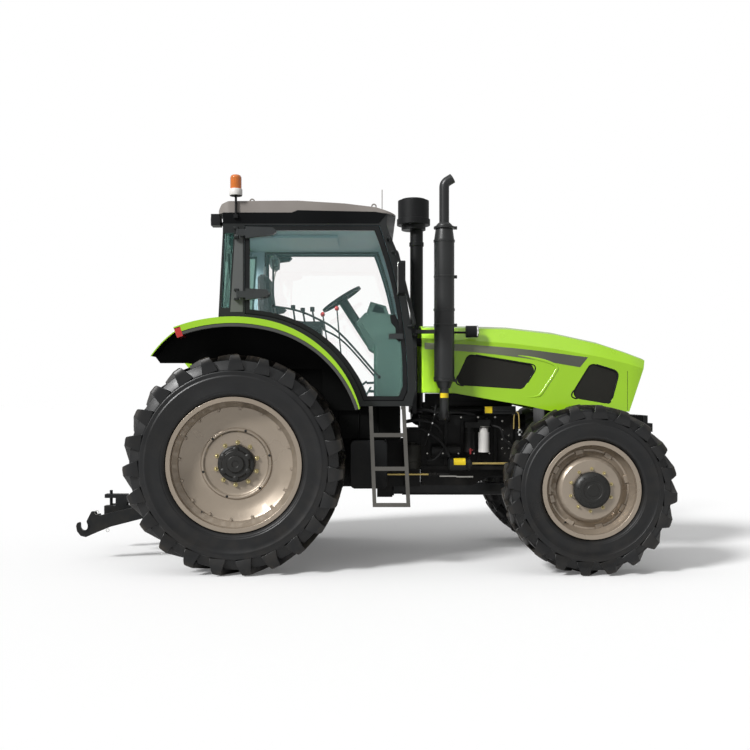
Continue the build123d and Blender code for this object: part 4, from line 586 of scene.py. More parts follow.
def tyre_piece(name, wheel_node, side, finish, lugs, radius, half, tread, flange, rim_half, lug_height):
    """Tyre with a moulded sidewall and two rows of leaning lugs that wrap over the shoulder."""
    centre = middle(wheel_node)
    carcass = radius - lug_height
    span = carcass - flange
    work = bmesh.new()
    section = [  # (radius, outward distance) of the outer half, from the bead to the crown
        (flange - 0.018, rim_half - 0.03),
        (flange + 0.003, rim_half - 0.012),
        (flange + 0.012, rim_half + 0.006),
        (flange + 0.10 * span, rim_half + 0.020),
        (flange + 0.13 * span, rim_half + 0.020),
        (flange + 0.15 * span, rim_half + 0.0245),
        (flange + 0.34 * span, half - 0.007),
        (flange + 0.50 * span, half - 0.004),
        (flange + 0.52 * span, half - 0.0005),
        (flange + 0.55 * span, half - 0.0005),
        (flange + 0.57 * span, half - 0.005),
        (flange + 0.68 * span, half - 0.006),
        (flange + 0.70 * span, half - 0.010),
        (flange + 0.72 * span, half - 0.022),
        (flange + 0.82 * span, half - 0.032),
        (flange + 0.93 * span, half - 0.050),
        (flange + 0.985 * span, tread * 0.80),
        (carcass, tread * 0.5),
    ]
    outline = section + [(r, -out) for r, out in reversed(section)]
    add_lathe(work, outline, centre, (0, side, 0), lugs * 8, closed=True)
    lean, foot = 0.32 * tread, carcass - 0.012
    # along a lug: (place of its foot and of its top across the tread, in half treads,
    # radius of foot and top, half width of foot and top)
    path = [
        (-0.05, -0.05, foot, radius - 0.006, 0.036, 0.023),
        (0.30, 0.30, foot, radius - 0.003, 0.035, 0.022),
        (0.66, 0.66, foot, radius - 0.003, 0.035, 0.023),
        (0.86, 0.95, foot - 0.01, radius - 0.004, 0.040, 0.031),
        (0.86, 1.02, foot - 0.03, radius - 0.012, 0.046, 0.037),
        (0.86, (half + 0.004) / tread, foot - 0.05, radius - 0.045, 0.054, 0.045),
        (0.87, (half + 0.003) / tread, foot - 0.06, radius - 0.27 * (radius - flange), 0.064, 0.058),
        (0.88, (half - 0.007) / tread, foot - 0.07, radius - 0.40 * (radius - flange), 0.072, 0.068),
    ]
    for row in (1, -1):
        for n in range(lugs):
            angle = 2 * math.pi * (n + (0 if row > 0 else 0.5)) / lugs
            outward = Vector((math.cos(angle), 0, -math.sin(angle)))
            along = Vector((math.sin(angle), 0, math.cos(angle)))
            rings = []
            for foot_share, top_share, foot_r, top_r, foot_w, top_w in path:
                drift = lean * (1 - 2 * min(top_share, 1.05))
                ring = []
                for share, r, shift in ((foot_share, foot_r, -foot_w), (top_share, top_r, -top_w),
                                        (top_share, top_r, top_w), (foot_share, foot_r, foot_w)):
                    place = centre + outward * r + along * (drift + shift)
                    place.y = centre.y + side * row * share * tread
                    ring.append(work.verts.new(place))
                rings.append(ring)
            skin_rings(work, rings)
            work.faces.new(rings[0])
            work.faces.new(rings[-1][::-1])
    piece = add_piece(name, work, finish, body_of_node[wheel_node], 30, "tyre_rubber", 0.004)
    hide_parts(wheel_node)


# lugs, radius, half width, half tread, rim flange radius, half rim, lug height
TYRES = {
    "rear": (23, 0.910, 0.235, 0.220, 0.559, 0.203, 0.044),
    "front": (20, 0.7025, 0.190, 0.175, 0.406, 0.160, 0.038),
}


def nut_and_stud(radius, out, size, height, dome):
    """Hexagon nut on a stud with a domed end, drawn on the ring's top; y grows outwards."""
    work = bmesh.new()
    flange = [(size * 1.25, 0), (size * 1.25, 0.003)]
    nut = flange + [(size, 0.0032), (size, height), (size * 0.85, height + 0.002)]
    shank = [(size * 0.62, height), (size * 0.62, height + dome * 0.5)]
    stud = shank + [(size * 0.42, height + dome * 0.85), (0, height + dome)]
    add_lathe(work, nut, (0, out, radius), (0, 1, 0), 6)
    add_lathe(work, stud, (0, out, radius), (0, 1, 0), 12)
    return work


def turned_item(radius, out, rows, sides=16):
    """Small turned form on a ring's top; rows are (radius, outward distance)."""
    work = bmesh.new()
    add_lathe(work, rows, (0, out, radius), (0, 1, 0), sides)
    return work


def rim_tab(radius_from, radius_to, out, half_width, height):
    """Pressed rib between a wheel's disc and its rim."""
    work = bmesh.new()
    low = [(-half_width, out, radius_from), (half_width, out, radius_from), (half_width, out, radius_to),
           (-half_width, out, radius_to)]
    top = [(x * 0.72, out + height * lift, r + shift) for (x, y, r), (lift, shift) in
           zip(low, ((1, 0.012), (1, 0.012), (0.8, -0.01), (0.8, -0.01)))]
    first = [work.verts.new(p) for p in low]
    second = [work.verts.new(p) for p in top]
    work.faces.new(first)
    work.faces.new(second)
    skin_rings(work, [first, second])
    return work


def wheel_trims(axle):
    """Everything fixed round a wheel: name, item maker, count, turn in degrees from the top, finish."""
    # rear disc holes drawn as flat near-black rubber discs: painted shade for the open holes
    hole = [(0, 0.0008), (0.0095, 0.0008), (0.011, 0), (0.011, -0.001)]
    if axle == "rear":
        rim_bolt = [(0.022, 0), (0.022, 0.003), (0.015, 0.0035), (0.015, 0.020), (0.012, 0.024), (0, 0.024)]
        lump = [(0.027, -0.01), (0.027, 0.004), (0.024, 0.016), (0.014, 0.021), (0, 0.022)]
        return (
            ("nuts", lambda: nut_and_stud(0.177, 0.014, 0.0165, 0.019, 0.022), 10, 3, gilt_plating),
            ("disc_holes", lambda: turned_item(0.285, 0.036, hole), 6, 16, rubber),
            ("rim_bolts", lambda: turned_item(0.468, 0.064, rim_bolt, 6), 16, 5, wheel_paint),
            ("cap_bolts", lambda: turned_item(0.118, 0.066, lump), 6, 0, hub_paint),
        )
    ring = [(0.006, -0.008), (0.006, 0.004), (0.004, 0.006), (0, 0.006)]
    return (
        ("nuts", lambda: nut_and_stud(0.174, 0.126, 0.0125, 0.012, 0.020), 10, 2, gilt_plating),
        ("tabs", lambda: rim_tab(0.288, 0.345, 0.036, 0.042, 0.016), 8, 30, wheel_paint),
        ("cap_bolts", lambda: turned_item(0.122, 0.188, ring), 8, 10, hub_paint),
    )


# hub boss rows, then the valve's distance from the axle, reach outwards and turn in degrees from the top
HUB_ENDS = {
    "rear": ([(0.074, 0.080), (0.074, 0.096), (0.066, 0.104), (0.030, 0.106), (0.026, 0.100), (0, 0.100)],
             0.492, 0.075, 215),
    "front": ([(0.100, 0.192), (0.100, 0.200), (0.092, 0.203), (0.078, 0.203), (0.074, 0.199),
               (0.050, 0.200), (0.047, 0.204), (0.020, 0.206), (0, 0.206)],
              0.352, 0.045, 217),
}
VALVE = [(0.013, 0), (0.012, 0.008), (0.006, 0.014), (0.006, 0.034), (0.0075, 0.035), (0.0075, 0.046), (0, 0.047)]
for axle, sizes in TYRES.items():
    boss_rows, valve_radius, valve_out, valve_turn = HUB_ENDS[axle]
    for hand, side in SIDES:
        wheel = f"{axle}_{hand}"
        tyre_piece(f"tread_{wheel}", f"tyre_{wheel}", side, tyre_rubber[axle], *sizes)
        centre = middle(f"tyre_{wheel}")
        body = body_of_node[f"rim_{wheel}"]
        for label, draw, count, turn, finish in wheel_trims(axle):
            item = draw()
            if side < 0:
                bmesh.ops.scale(item, vec=(1, -1, 1), verts=item.verts)
            values = {"Count": count, "Phase": math.radians(turn), "Centre": centre}
            repeated(f"{label}_{wheel}", item, RING, values, finish, body, sharp=30)
        outward = Vector((0, side, 0))
        cap = bmesh.new()
        add_lathe(cap, boss_rows, centre, outward, 32)
        add_piece(f"hub_boss_{wheel}", cap, hub_paint, body, 30, bevel=0.0015)
        turn = math.radians(valve_turn)
        radial = Vector((math.sin(turn), 0, math.cos(turn)))
        foot = centre + radial * valve_radius + outward * valve_out
        valve = bmesh.new()
        add_lathe(valve, VALVE, foot, outward - radial * 0.35, 12)
        add_piece(f"valve_{wheel}", valve, rubber, body, 30)

# ------------------------------------------------------------------ every other CAD node
# node: (edge rounding, angle above which an edge stays sharp)
ROUNDING = {
    "hood": (0.004, 24), "roof": (0.012, 24), "fender_right": (0.003, 24), "fender_left": (0.003, 24),
    "cab_frame": (0.006, 28), "exhaust": (0.002, 24), "air_intake": (0.004, 24), "console": (0.012, 28),
    "seat_base": (0.008, 28), "fuel_tanks": (0.006, 24), "gearbox": (0.006, 28), "engine": (0.004, 28),
    "cab_windows": (0, 28), "hub_rear_right": (0.003, 26), "cowl": (0.004, 28), "door_right": (0.003, 24),
    "door_left": (0.003, 24), "mirrors": (0.006, 28), "steering_wheel": (0.005, 24),
    "front_frame": (0.004, 28), "front_axle": (0.008, 26),
}
GLAZING = ("door_glass_right", "door_glass_left")
skins = {}
for name in nodes:
    if name.startswith("tyre_") or name == "seat_cushions":
        continue
    if name in GLAZING:
        for place in nodes[name].material_slots:
            place.material = clear_glass
        continue
    bevel, sharp = ROUNDING.get(name, (0.0025, 26))
    skins[name] = dress(name, bevel, sharp)

CAB_MIDDLE = at(600, 0, 2300)
FENDER_CENTRE = at(52, 0, 1109)


def faces_the_driver(centre, normal):
    """True on the cab frame's inner faces above the floor."""
    inside = abs(centre.y) < 0.79 and abs(normal.y) < 0.9 and centre.z > 1.5
    return inside and normal.dot(CAB_MIDDLE - centre) > 0.3


def under_the_fender(centre, normal, side):
    """True on a fender's hollow side and on its inner wall, the faces given painted shade."""
    away = centre - FENDER_CENTRE
    hollow = normal.x * away.x + normal.z * away.z < -0.05
    turned_away = normal.y * side > 0.5 or normal.z < -0.1 or abs(normal.x) > 0.9
    return hollow or (abs(centre.y) < 0.70 and turned_away)


# inner faces of the cab frame in light teal: painted reflection of the glass
second_finish(skins["cab_frame"], glass_veil_teal, faces_the_driver)
second_finish(skins["cab_frame"], glass_veil_teal,
              lambda centre, normal: abs(centre.y) < 0.745 and normal.y * centre.y < -0.5)
second_finish(skins["cab_windows"], quarter_glass,
              lambda centre, normal: abs(centre.y) > 0.728 and centre.x < REAR_X and centre.z > 2.2)
second_finish(skins["filters"], dark_casting,
              lambda centre, normal: centre.x < REAR_X + 2.07 or centre.z > 1.19)
second_finish(skins["roof"], roof_band, lambda centre, normal: normal.z < -0.3)
second_finish(skins["console"], black_plastic,
              lambda centre, normal: centre.x < REAR_X + 1.0 and centre.z > 2.15)
for hand, side in SIDES:
    # fender hollows and inner walls in near-black: painted shade on faces that are lime paint
    second_finish(skins[f"fender_{hand}"], painted_shade_black,
                  lambda centre, normal: under_the_fender(centre, normal, side))
    # inner faces of the doors in light teal: painted reflection of the glass
    second_finish(skins[f"door_{hand}"], glass_veil_teal,
                  lambda centre, normal: normal.y * side < -0.6 and abs(centre.y) < 0.78)
    second_finish(skins[f"door_{hand}"], grey_plastic, lambda centre, normal: abs(centre.y) > 0.806)

# ------------------------------------------------------------------ lines and strips laid on a side of the machine


def facing(*pieces):
    """Ray-cast tree of the surface of one or more pieces."""
    work = bmesh.new()
    for piece in pieces:
        work.from_mesh(piece.data)
    tree = BVHTree.FromBMesh(work)
    work.free()
    return tree


def on_side(tree, x, z, side, lift):
    """Place on a surface seen from one side at x, z, raised by lift, and the surface's normal there."""
    for dx, dz in ((0, 0), (0.006, 0), (-0.006, 0), (0, 0.006), (0, -0.006)):  # steps over an open joint
        start = Vector((x + dx, side * 3, z + dz))
        hit, normal, index, distance = tree.ray_cast(start, Vector((0, -side, 0)))
        if hit is not None:
            break
    else:
        raise ValueError(f"nothing at {x:.3f}, {z:.3f}")
    if normal.y * side < 0:
        normal = -normal
    return Vector((x, hit.y, z)) + normal * lift, normal


def on_hood(points):
    """Points in X and Z from millimetres."""
    return [Vector((REAR_X + x / 1000, 0, z / 1000)) for x, z in points]


SUNK = -0.002  # how far the hidden side of a strip or bead lies under the surface
BEAD_SECTION = [(-1, -1), (-0.8, 0.55), (-0.35, 0.95), (0.35, 0.95), (0.8, 0.55), (1, -1)]


def side_strip(work, tree, side, top, bottom, proud, columns=48, rows=4):
    """Thin strip between two lines, laid on a surface."""
    uppers, lowers = smooth_line(on_hood(top), columns), smooth_line(on_hood(bottom), columns)
    outer, inner = [], []
    for upper, lower in zip(uppers, lowers):
        places = [upper.lerp(lower, n / rows) for n in range(rows + 1)]
        outer.append([work.verts.new(on_side(tree, p.x, p.z, side, proud)[0]) for p in places])
        inner.append([work.verts.new(on_side(tree, p.x, p.z, side, SUNK)[0]) for p in places])
    for n in range(columns - 1):
        for k in range(rows):
            for sheet in (outer, inner):
                work.faces.new((sheet[n][k], sheet[n + 1][k], sheet[n + 1][k + 1], sheet[n][k + 1]))
        for k in (0, rows):
            work.faces.new((outer[n][k], outer[n + 1][k], inner[n + 1][k], inner[n][k]))
    for n in (0, columns - 1):
        for k in range(rows):
            work.faces.new((outer[n][k], outer[n][k + 1], inner[n][k + 1], inner[n][k]))


def side_bead(work, tree, side, line, half_width, height, closed=False, taper=0.0):
    """Low rounded bead along X, Z places laid on a surface; taper is the share of its length that tapers."""
    count = len(line)
    rings = []
    for n, p in enumerate(line):
        if closed:
            before, after = line[n - 1], line[(n + 1) % count]
        else:
            before, after = line[max(n - 1, 0)], line[min(n + 1, count - 1)]
        place, normal = on_side(tree, p.x, p.z, side, 0)
        way = (after - before).normalized()
        across = way.cross(normal).normalized()
        share = min(n, count - 1 - n) / max(1, count - 1)
        size = min(1.0, 0.08 + share / taper) if taper else 1.0
        wide, high = half_width * size, height * size
        ring = [place + across * wide * u + normal * (high * v if v >= 0 else SUNK) for u, v in BEAD_SECTION]
        rings.append([work.verts.new(v) for v in ring])
    skin_rings(work, rings, closed)
    if not closed:
        work.faces.new(rings[0])
        work.faces.new(rings[-1])


def rounded_loop(corners, radius, steps=6, spacing=0.06):
    """Closed line of X, Z places through corners, each rounded by an arc of about the given radius."""
    corners = on_hood(corners)
    loop = []
    for n, corner in enumerate(corners):
        before, after = corners[n - 1], corners[(n + 1) % len(corners)]
        start = corner + (before - corner).normalized() * radius
        end = corner + (after - corner).normalized() * radius
        if loop:
            run = start - loop[-1]
            parts = max(1, int(run.length / spacing))
            loop += [loop[-1] + run * k / parts for k in range(1, parts)]
        shares = [k / steps for k in range(steps + 1)]
        loop += [start.lerp(corner, t).lerp(corner.lerp(end, t), t) for t in shares]
    run = loop[0] - loop[-1]
    parts = max(1, int(run.length / spacing))
    return loop + [loop[-1] + run * k / parts for k in range(1, parts)]


# ------------------------------------------------------------------ hood
hood_surface = facing(skins["hood"], skins["hood_grilles"])
STRIPE_TOP = [(1600, 1950), (2016, 1930), (2492, 1891), (3055, 1820)]
STRIPE_FOOT = [(1600, 1893), (2016, 1867), (2492, 1811), (2984, 1732)]
SWAGE = [(2354, 1848), (2540, 1818), (2700, 1778), (2775, 1735), (2765, 1690), (2700, 1590), (2640, 1500),
         (2600, 1474), (2500, 1462)]
INTAKE_PANEL = [(1985, 1851), (2611, 1748), (2476, 1534), (1858, 1574)]
NOSE_PANEL = [(3079, 1772), (3340, 1693), (3261, 1400), (2888, 1463)]
NOSE_SEAM = [(3414, 1350), (3414, 1560), (3414, 1700)]
for hand, side in SIDES:
    stripe = bmesh.new()
    side_strip(stripe, hood_surface, side, STRIPE_TOP, STRIPE_FOOT, 0.0014)
    add_piece(f"hood_stripe_{hand}", stripe, stripe_grey, "hood", 40)
    swage = bmesh.new()
    side_bead(swage, hood_surface, side, smooth_line(on_hood(SWAGE), 70), 0.014, 0.0045, taper=0.2)
    add_piece(f"hood_swage_{hand}", swage, lime_paint, "hood", 60)
    border = bmesh.new()
    for panel, radius in ((INTAKE_PANEL, 0.075), (NOSE_PANEL, 0.06)):
        side_bead(border, hood_surface, side, rounded_loop(panel, radius), 0.007, 0.0028, closed=True)
    add_piece(f"hood_mesh_border_{hand}", border, black_plastic, "hood", 60)
    seam = bmesh.new()
    side_bead(seam, hood_surface, side, smooth_line(on_hood(NOSE_SEAM), 24), 0.0022, 0.0006)
    add_piece(f"hood_nose_seam_{hand}", seam, rubber, "hood", 60)

# ------------------------------------------------------------------ engine bay, on the right side
BAY = -330
UP, AHEAD = (0, 0, 1), (1, 0, 0)


def bay_piece(name, parts, material, **finish):
    """Chassis piece of several parts: a drawing function each, and what it is given."""
    work = bmesh.new()
    for draw, *given in parts:
        draw(work, *given)
    return add_piece(name, work, material, "chassis", **finish)


def curved_plate(work, x_from, x_to, y, z, radius, angle_from, angle_to, steps=8):
    """Thin plate wrapped on a round body that lies along X; angles in degrees from straight out to the right."""
    outer, inner = [], []
    for n in range(steps + 1):
        angle = math.radians(angle_from + (angle_to - angle_from) * n / steps)
        for store, r in ((outer, radius + 1.2), (inner, radius - 2)):
            across, up = y - r * math.cos(angle), z + r * math.sin(angle)
            store.append([work.verts.new(at(x, across, up)) for x in (x_from, x_to)])
    for n in range(steps):
        for sheet in (outer, inner):
            work.faces.new((sheet[n][0], sheet[n][1], sheet[n + 1][1], sheet[n + 1][0]))
        for k in (0, 1):
            work.faces.new((outer[n][k], outer[n + 1][k], inner[n + 1][k], inner[n][k]))
    for n in (0, steps):
        work.faces.new((outer[n][0], outer[n][1], inner[n][1], inner[n][0]))


def mm_lathe(work, rows, place, axis, sides=28):
    """Turned form with rows and place in millimetres."""
    add_lathe(work, [(r / 1000, d / 1000) for r, d in rows], at(*place), axis, sides)


def mm_block(work, low, high):
    """Block between two corners in millimetres."""
    add_block(work, at(*low), at(*high))


def side_block(work, side, low, high):
    """Block between two corners in millimetres, given for the left side and mirrored for the right."""
    near, far = sorted((low[1] * side, high[1] * side))
    mm_block(work, (low[0], near, low[2]), (high[0], far, high[2]))


def mm_plate(work, outline, y_from, y_to):
    """Plate with its outline in millimetres, between two y planes."""
    add_plate(work, [(p.x, p.z) for p in on_hood(outline)], y_from, y_to)


def turned(place, degrees):
    """Turn about the crosswise line through a place."""
    return Matrix.Translation(place) @ Matrix.Rotation(math.radians(degrees), 4, "Y") @ Matrix.Translation(-place)


# turned forms: radius and height of each row, from foot to top
DRUM = [(0, 0), (66, 0), (78, 10), (80, 30), (80, 60), (77, 63), (77, 69), (80, 72), (80, 196), (72, 214),
        (30, 220), (30, 236), (0, 236)]
PREFILTER = [(0, 0), (34, 0), (46, 8), (58, 14), (58, 160), (50, 168), (50, 180), (60, 182), (60, 196), (20, 200),
             (20, 216), (0, 216)]
COUPLING = [(0, 0), (14, 0), (18, 6), (18, 24), (14, 28), (14, 44), (17, 46), (17, 66), (12, 72), (9, 74),
            (9, 190), (0, 190)]
UNION_POST = [(0, 0), (15, 0), (15, 20), (24, 22), (24, 40), (15, 42), (15, 58), (0, 58)]
UNION_BRANCH = [(0, 0), (17, 0), (17, 30), (12, 34), (0, 34)]
HEAD_PLUG = [(0, 0), (16, 0), (16, 14), (11, 18), (0, 18)]
BAND = [(57, 0), (60, 2), (60, 6), (57, 8), (50, 4)]

bay_piece("service_drum", [(mm_lathe, DRUM, (1493, -318, 822), UP)], drum_paint, sharp=35)
bay_piece("fuel_prefilter", [(mm_lathe, PREFILTER, (1814, -352, 868), AHEAD)], black_paint, sharp=35)
bay_piece("prefilter_plate", [(curved_plate, 1862, 1966, -352, 868, 58, -6, 62)], plate_yellow, sharp=40)
bay_piece("filter_plate", [(mm_block, (2146, BAY - 12, 1321), (2212, BAY - 8, 1381))], plate_yellow, bevel=0.002)
bay_piece("filter_plate_bracket", [
    (mm_block, (2138, BAY - 8, 1312), (2424, BAY, 1386)),
    (mm_block, (2212, BAY - 26, 1340), (2424, BAY - 8, 1352)),
    (mm_block, (2138, BAY, 1330), (2170, -212, 1350)),
], black_paint, bevel=0.003)
tube("fuel_feed_pipe", [at(1250, BAY, 773), at(1646, BAY, 773)], 0.009, gilt_pipe, "chassis")
bay_piece("feed_coupling", [(mm_lathe, COUPLING, (1640, BAY, 773), AHEAD)], dark_casting, sharp=35)
tube("filter_pipe", [at(2014, -346, 872), at(2367, -346, 872)], 0.0095, gilt_pipe, "chassis")
tube("filter_pipe_lower", [at(1740, BAY, 757), at(1880, BAY, 757), at(1900, BAY, 752), at(2040, BAY, 752)], 0.008,
     steel, "chassis")
tube("injector_pipes", [at(2455, -338, 1170), at(2450, -338, 1300), at(2432, -332, 1334), at(2412, -322, 1300),
                        at(2410, -300, 1180)], 0.006, gilt_pipe, "chassis")
bay_piece("pipe_union", [
    (mm_lathe, UNION_POST, (2457, -338, 1122), UP, 6),
    (mm_lathe, UNION_BRANCH, (2457, -338, 1150), (0, -1, 0), 6),
], bright_trim, sharp=30)
bay_piece("drain_tap", [
    (mm_block, (2008, BAY - 14, 953), (2024, BAY, 1007)),
    (mm_block, (2000, BAY - 10, 985), (2040, BAY - 2, 995)),
], red_knob, bevel=0.003)
bay_piece("filter_head", [
    (mm_block, (2084, -318, 1216), (2200, -250, 1262)),
    (mm_lathe, HEAD_PLUG, (2112, -284, 1262), UP, 6),
    (mm_lathe, HEAD_PLUG, (2172, -284, 1262), UP, 6),
], dark_casting, bevel=0.006)
bay_piece("filter_band", [(mm_lathe, BAND, (2141, -284, 1196), UP)], steel, sharp=40)

LOOM = [(1707, BAY, 1395), (1694, BAY - 6, 1310), (1673, BAY - 10, 1233), (1640, BAY - 8, 1130),
        (1602, BAY, 1034)]
tube("engine_loom", [at(*p) for p in LOOM], 0.009, rubber, "chassis")
HOSES = {
    "coolant_hose": ([(1440, -300, 1245), (1560, -322, 1262), (1700, -326, 1222), (1760, -300, 1150)], 0.017),
    "oil_hose": ([(1470, -300, 1180), (1590, -330, 1175), (1720, -336, 1090), (1790, -320, 1010),
                  (1830, -330, 930)], 0.013),
    "fuel_return_hose": ([(2220, -300, 1210), (2290, -330, 1180), (2320, -335, 1090), (2390, -330, 1030),
                          (2480, -300, 1010)], 0.010),
    "heater_hose": ([(1480, -280, 1330), (1600, -326, 1352), (1760, -330, 1318), (1900, -322, 1330),
                     (2060, -300, 1310)], 0.014),
    "starter_cable": ([(1610, -300, 900), (1690, -335, 905), (1760, -330, 980), (1800, -300, 1060)], 0.008),
    "brake_hose_rear": ([(700, -500, 1180), (820, -520, 1245), (940, -520, 1215), (1000, -500, 1140)], 0.012),
    "lift_hose_rear": ([(640, -480, 1120), (760, -505, 1175), (880, -505, 1160), (960, -480, 1080)], 0.012),
}
for label, (points, radius) in HOSES.items():
    tube(label, [at(*p) for p in points], radius, rubber, "chassis")

# rows of bolt heads on the engine's right face, in mm from the lower rear corner of the block:
# first (along, up), last (along, up), how many, head radius
BOLT_ROWS = [
    ((60, 300), (900, 300), 7, 5),  # pan flange
    ((210, 625), (670, 625), 4, 6),  # joint under the head
    ((735, 345), (735, 590), 4, 6),  # timing cover, rear edge
    ((795, 345), (795, 460), 3, 6),  # timing cover, front edge
]
BOLT_STANDS_OUT = 9
block_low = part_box("engine")[0]
block_face = -1000 * block_low[1]
block_rear = 1000 * (block_low[0] - REAR_X)
block_foot = 1000 * block_low[2]
bay_bolts = bmesh.new()
for first, last, count, size in BOLT_ROWS:
    for n in range(count):
        share = n / (count - 1)
        along = first[0] + (last[0] - first[0]) * share
        up = first[1] + (last[1] - first[1]) * share
        bolt = [(size * 1.5, -24), (size * 1.5, 0), (size, 0.4), (size, 7), (size * 0.8, 9), (0, 9)]
        foot = (block_rear + along, -block_face - BOLT_STANDS_OUT, block_foot + up)
        mm_lathe(bay_bolts, bolt, foot, (0, -1, 0), 6)
add_piece("engine_bay_bolts", bay_bolts, steel, "chassis", 30)
clamps = bmesh.new()
for x, y, z in LOOM[1:4]:
    mm_lathe(clamps, [(9, -7), (12, -7), (12, 7), (9, 7)], (x, y, z), (0.25, 0, 1), 16)
add_piece("loom_clips", clamps, bright_trim, "chassis", 40)

exhaust_surface = facing(skins["exhaust"])
plate = bmesh.new()
plate_top, plate_foot = [[(x, z) for x in (1726, 1760, 1794)] for z in (1500, 1460)]
side_strip(plate, exhaust_surface, -1, plate_top, plate_foot, 0.0014, 10, 2)
add_piece("exhaust_plate", plate, plate_yellow, "chassis", 40)
bands = bmesh.new()
for z in (1600, 2080, 2500, 2925):
    mm_lathe(bands, [(86, 0), (91, 2), (91, 20), (86, 22)], (1760, -620, z), (0, 0, 1), 40)
for z in (1608, 2088, 2508, 2933):
    add_block(bands, at(1842, -628, z - 12), at(1872, -612, z + 16))
add_piece("exhaust_bands", bands, stack_paint, "chassis", 40, bevel=0.0012)

# ------------------------------------------------------------------ cab
# headlining in light teal: painted reflection of the glass
lining = bmesh.new()
add_block(lining, at(-110, -775, 2925), at(1180, 775, 2937))
add_block(lining, at(240, -300, 2900), at(820, 300, 2926))
add_piece("cab_headlining", lining, glass_veil_teal, "chassis", 30, bevel=0.006)

bay_piece("headrest_posts", [(add_bar, at(212, y, 2560), at(240, y, 2700), 0.006) for y in (-70, 70)], steel)
bay_piece("seat_side_bar", [
    (add_bar, at(236, -232, 2180), at(236, -232, 2704), 0.009),
    (add_bar, at(236, -232, 2704), at(236, -120, 2716), 0.009),
], black_paint)
ROD = [(288, 2243), (470, 2212), (638, 2149), (860, 2010), (1193, 1638)]
LATCH = [(1286, 2163), (1330, 2172), (1352, 2120), (1393, 2010), (1393, 1950), (1365, 1938), (1338, 1960),
         (1332, 2060), (1296, 2100)]
ROD_END = [(0, -16), (12, -13), (17, -4), (17, 6), (11, 14), (0, 16)]
for hand, side in SIDES:
    y = 752 * side
    rods = bmesh.new()
    add_tube(rods, [at(x, y, z) for x, z in ROD], 0.009)
    for x, z in (ROD[-1], ROD[0]):
        mm_lathe(rods, ROD_END, (x, y, z), (0, side, 0), 16)
    for x, z in ((1100, 1742), (560, 2180)):
        add_bar(rods, at(x, y, z), at(x, 768 * side, z), 0.008)
    add_piece(f"door_rods_{hand}", rods, black_paint, f"door_{hand}", 40)
    latch = bmesh.new()
    mm_plate(latch, LATCH, side * 0.79, side * 0.745)
    mm_lathe(latch, [(0, 0), (24, 0), (24, 14), (18, 20), (0, 20)], (1350, 748 * side, 2110), (0, -side, 0), 24)
    add_piece(f"door_latch_{hand}", latch, black_plastic, f"door_{hand}", 30, bevel=0.004)
    handle = bmesh.new()
    side_block(handle, side, (1366, 772, 1980), (1392, 806, 2120))
    add_piece(f"door_handle_{hand}", handle, black_plastic, f"door_{hand}", 30, bevel=0.006)

KNOB = [(0, -22), (14, -18), (20, -4), (19, 8), (12, 18), (0, 22)]
levers = bmesh.new()
knobs = bmesh.new()
for x, y, z, foot_x, foot_z in ((694, -400, 2203, 840, 1420), (820, -400, 2256, 915, 1400)):
    add_tube(levers, [at(foot_x, y, foot_z), at((x + foot_x) / 2 - 8, y, (z + foot_z) / 2), at(x, y, z)], 0.006)
    mm_lathe(knobs, KNOB, (x, y, z), (x - foot_x, 0, z - foot_z), 20)
add_piece("floor_levers", levers, black_paint, "chassis", 40)
add_piece("floor_lever_knobs", knobs, red_knob, "chassis", 60)

pedals = bmesh.new()
for y in (-150, -60, 130):
    add_tube(pedals, [at(1290, y, 1700), at(1180, y, 1610), at(1082, y, 1596)], 0.009)
    add_block(pedals, at(1040, y - 38, 1590), at(1090, y + 38, 1604), turned(at(1065, y, 1597), -38))
add_piece("pedals", pedals, black_plastic, "chassis", 30, bevel=0.003)

wiper = bmesh.new()
add_tube(wiper, [at(-150, 60, 2880), at(-190, 60, 2868), at(-176, 30, 2740), at(-186, -20, 2560)], 0.006)
add_block(wiper, at(-196, -30, 2330), at(-182, -18, 2800), turned(at(-190, -24, 2565), -3.4))
mm_lathe(wiper, [(0, 0), (24, 0), (24, 30), (18, 40), (0, 40)], (-150, 60, 2880), (-1, 0, 0), 20)
add_piece("rear_wiper", wiper, black_plastic, "chassis", 35, bevel=0.001)

for hand, side in SIDES:
    # bright mirror strip on each rear pillar: a painted highlight along the pillar's curved edge
    highlight_strip = (side_block, side, (40, 739.5, 2390), (66, 742.5, 2780))
    bay_piece(f"pillar_highlight_strip_{hand}", [highlight_strip], bright_trim, bevel=0.0008)
    mirror_side = 1070 * side
    glass = (mm_block, (1342.5, mirror_side - 98, 2320), (1346, mirror_side + 98, 2564))
    bay_piece(f"mirror_glass_{hand}", [glass], bright_trim, bevel=0.0012)

# ------------------------------------------------------------------ lamps and beacon
# place, which way it shines along X, bezel rows, lens rows
WORK_LAMPS = [
    ((2060, 495, 2043), 1, [(44, -6), (53, -6), (55, 2), (53, 8), (47, 8), (44, 2)],
     [(0, -2), (46, -2), (46, 1), (30, 5), (0, 7)]),
    ((-273, 520, 3015), -1, [(40, -2), (48, -2), (48, 4), (42, 6), (40, 2)],
     [(0, -2), (42, -2), (42, 2), (26, 5), (0, 6)]),
]
BEACON_SIDE = -815
bezels = bmesh.new()
lenses = bmesh.new()
for hand, side in SIDES:
    for (x, y, z), way, bezel_rows, lens_rows in WORK_LAMPS:
        mm_lathe(bezels, bezel_rows, (x, y * side, z), (way, 0, 0), 32)
        mm_lathe(lenses, lens_rows, (x, y * side, z), (way, 0, 0), 32)
add_piece("work_lamp_bezels", bezels, bright_trim, "chassis", 30)
add_piece("work_lamp_lenses", lenses, lamp_lens, "chassis", 30)
collar_rows = [(48, 0), (53, 2), (55, 8), (55, 52), (52, 57), (49, 57)]
collar = (mm_lathe, collar_rows, (-22, BEACON_SIDE, 3174), UP, 36)
bay_piece("beacon_collar", [collar], white_paint, sharp=35)
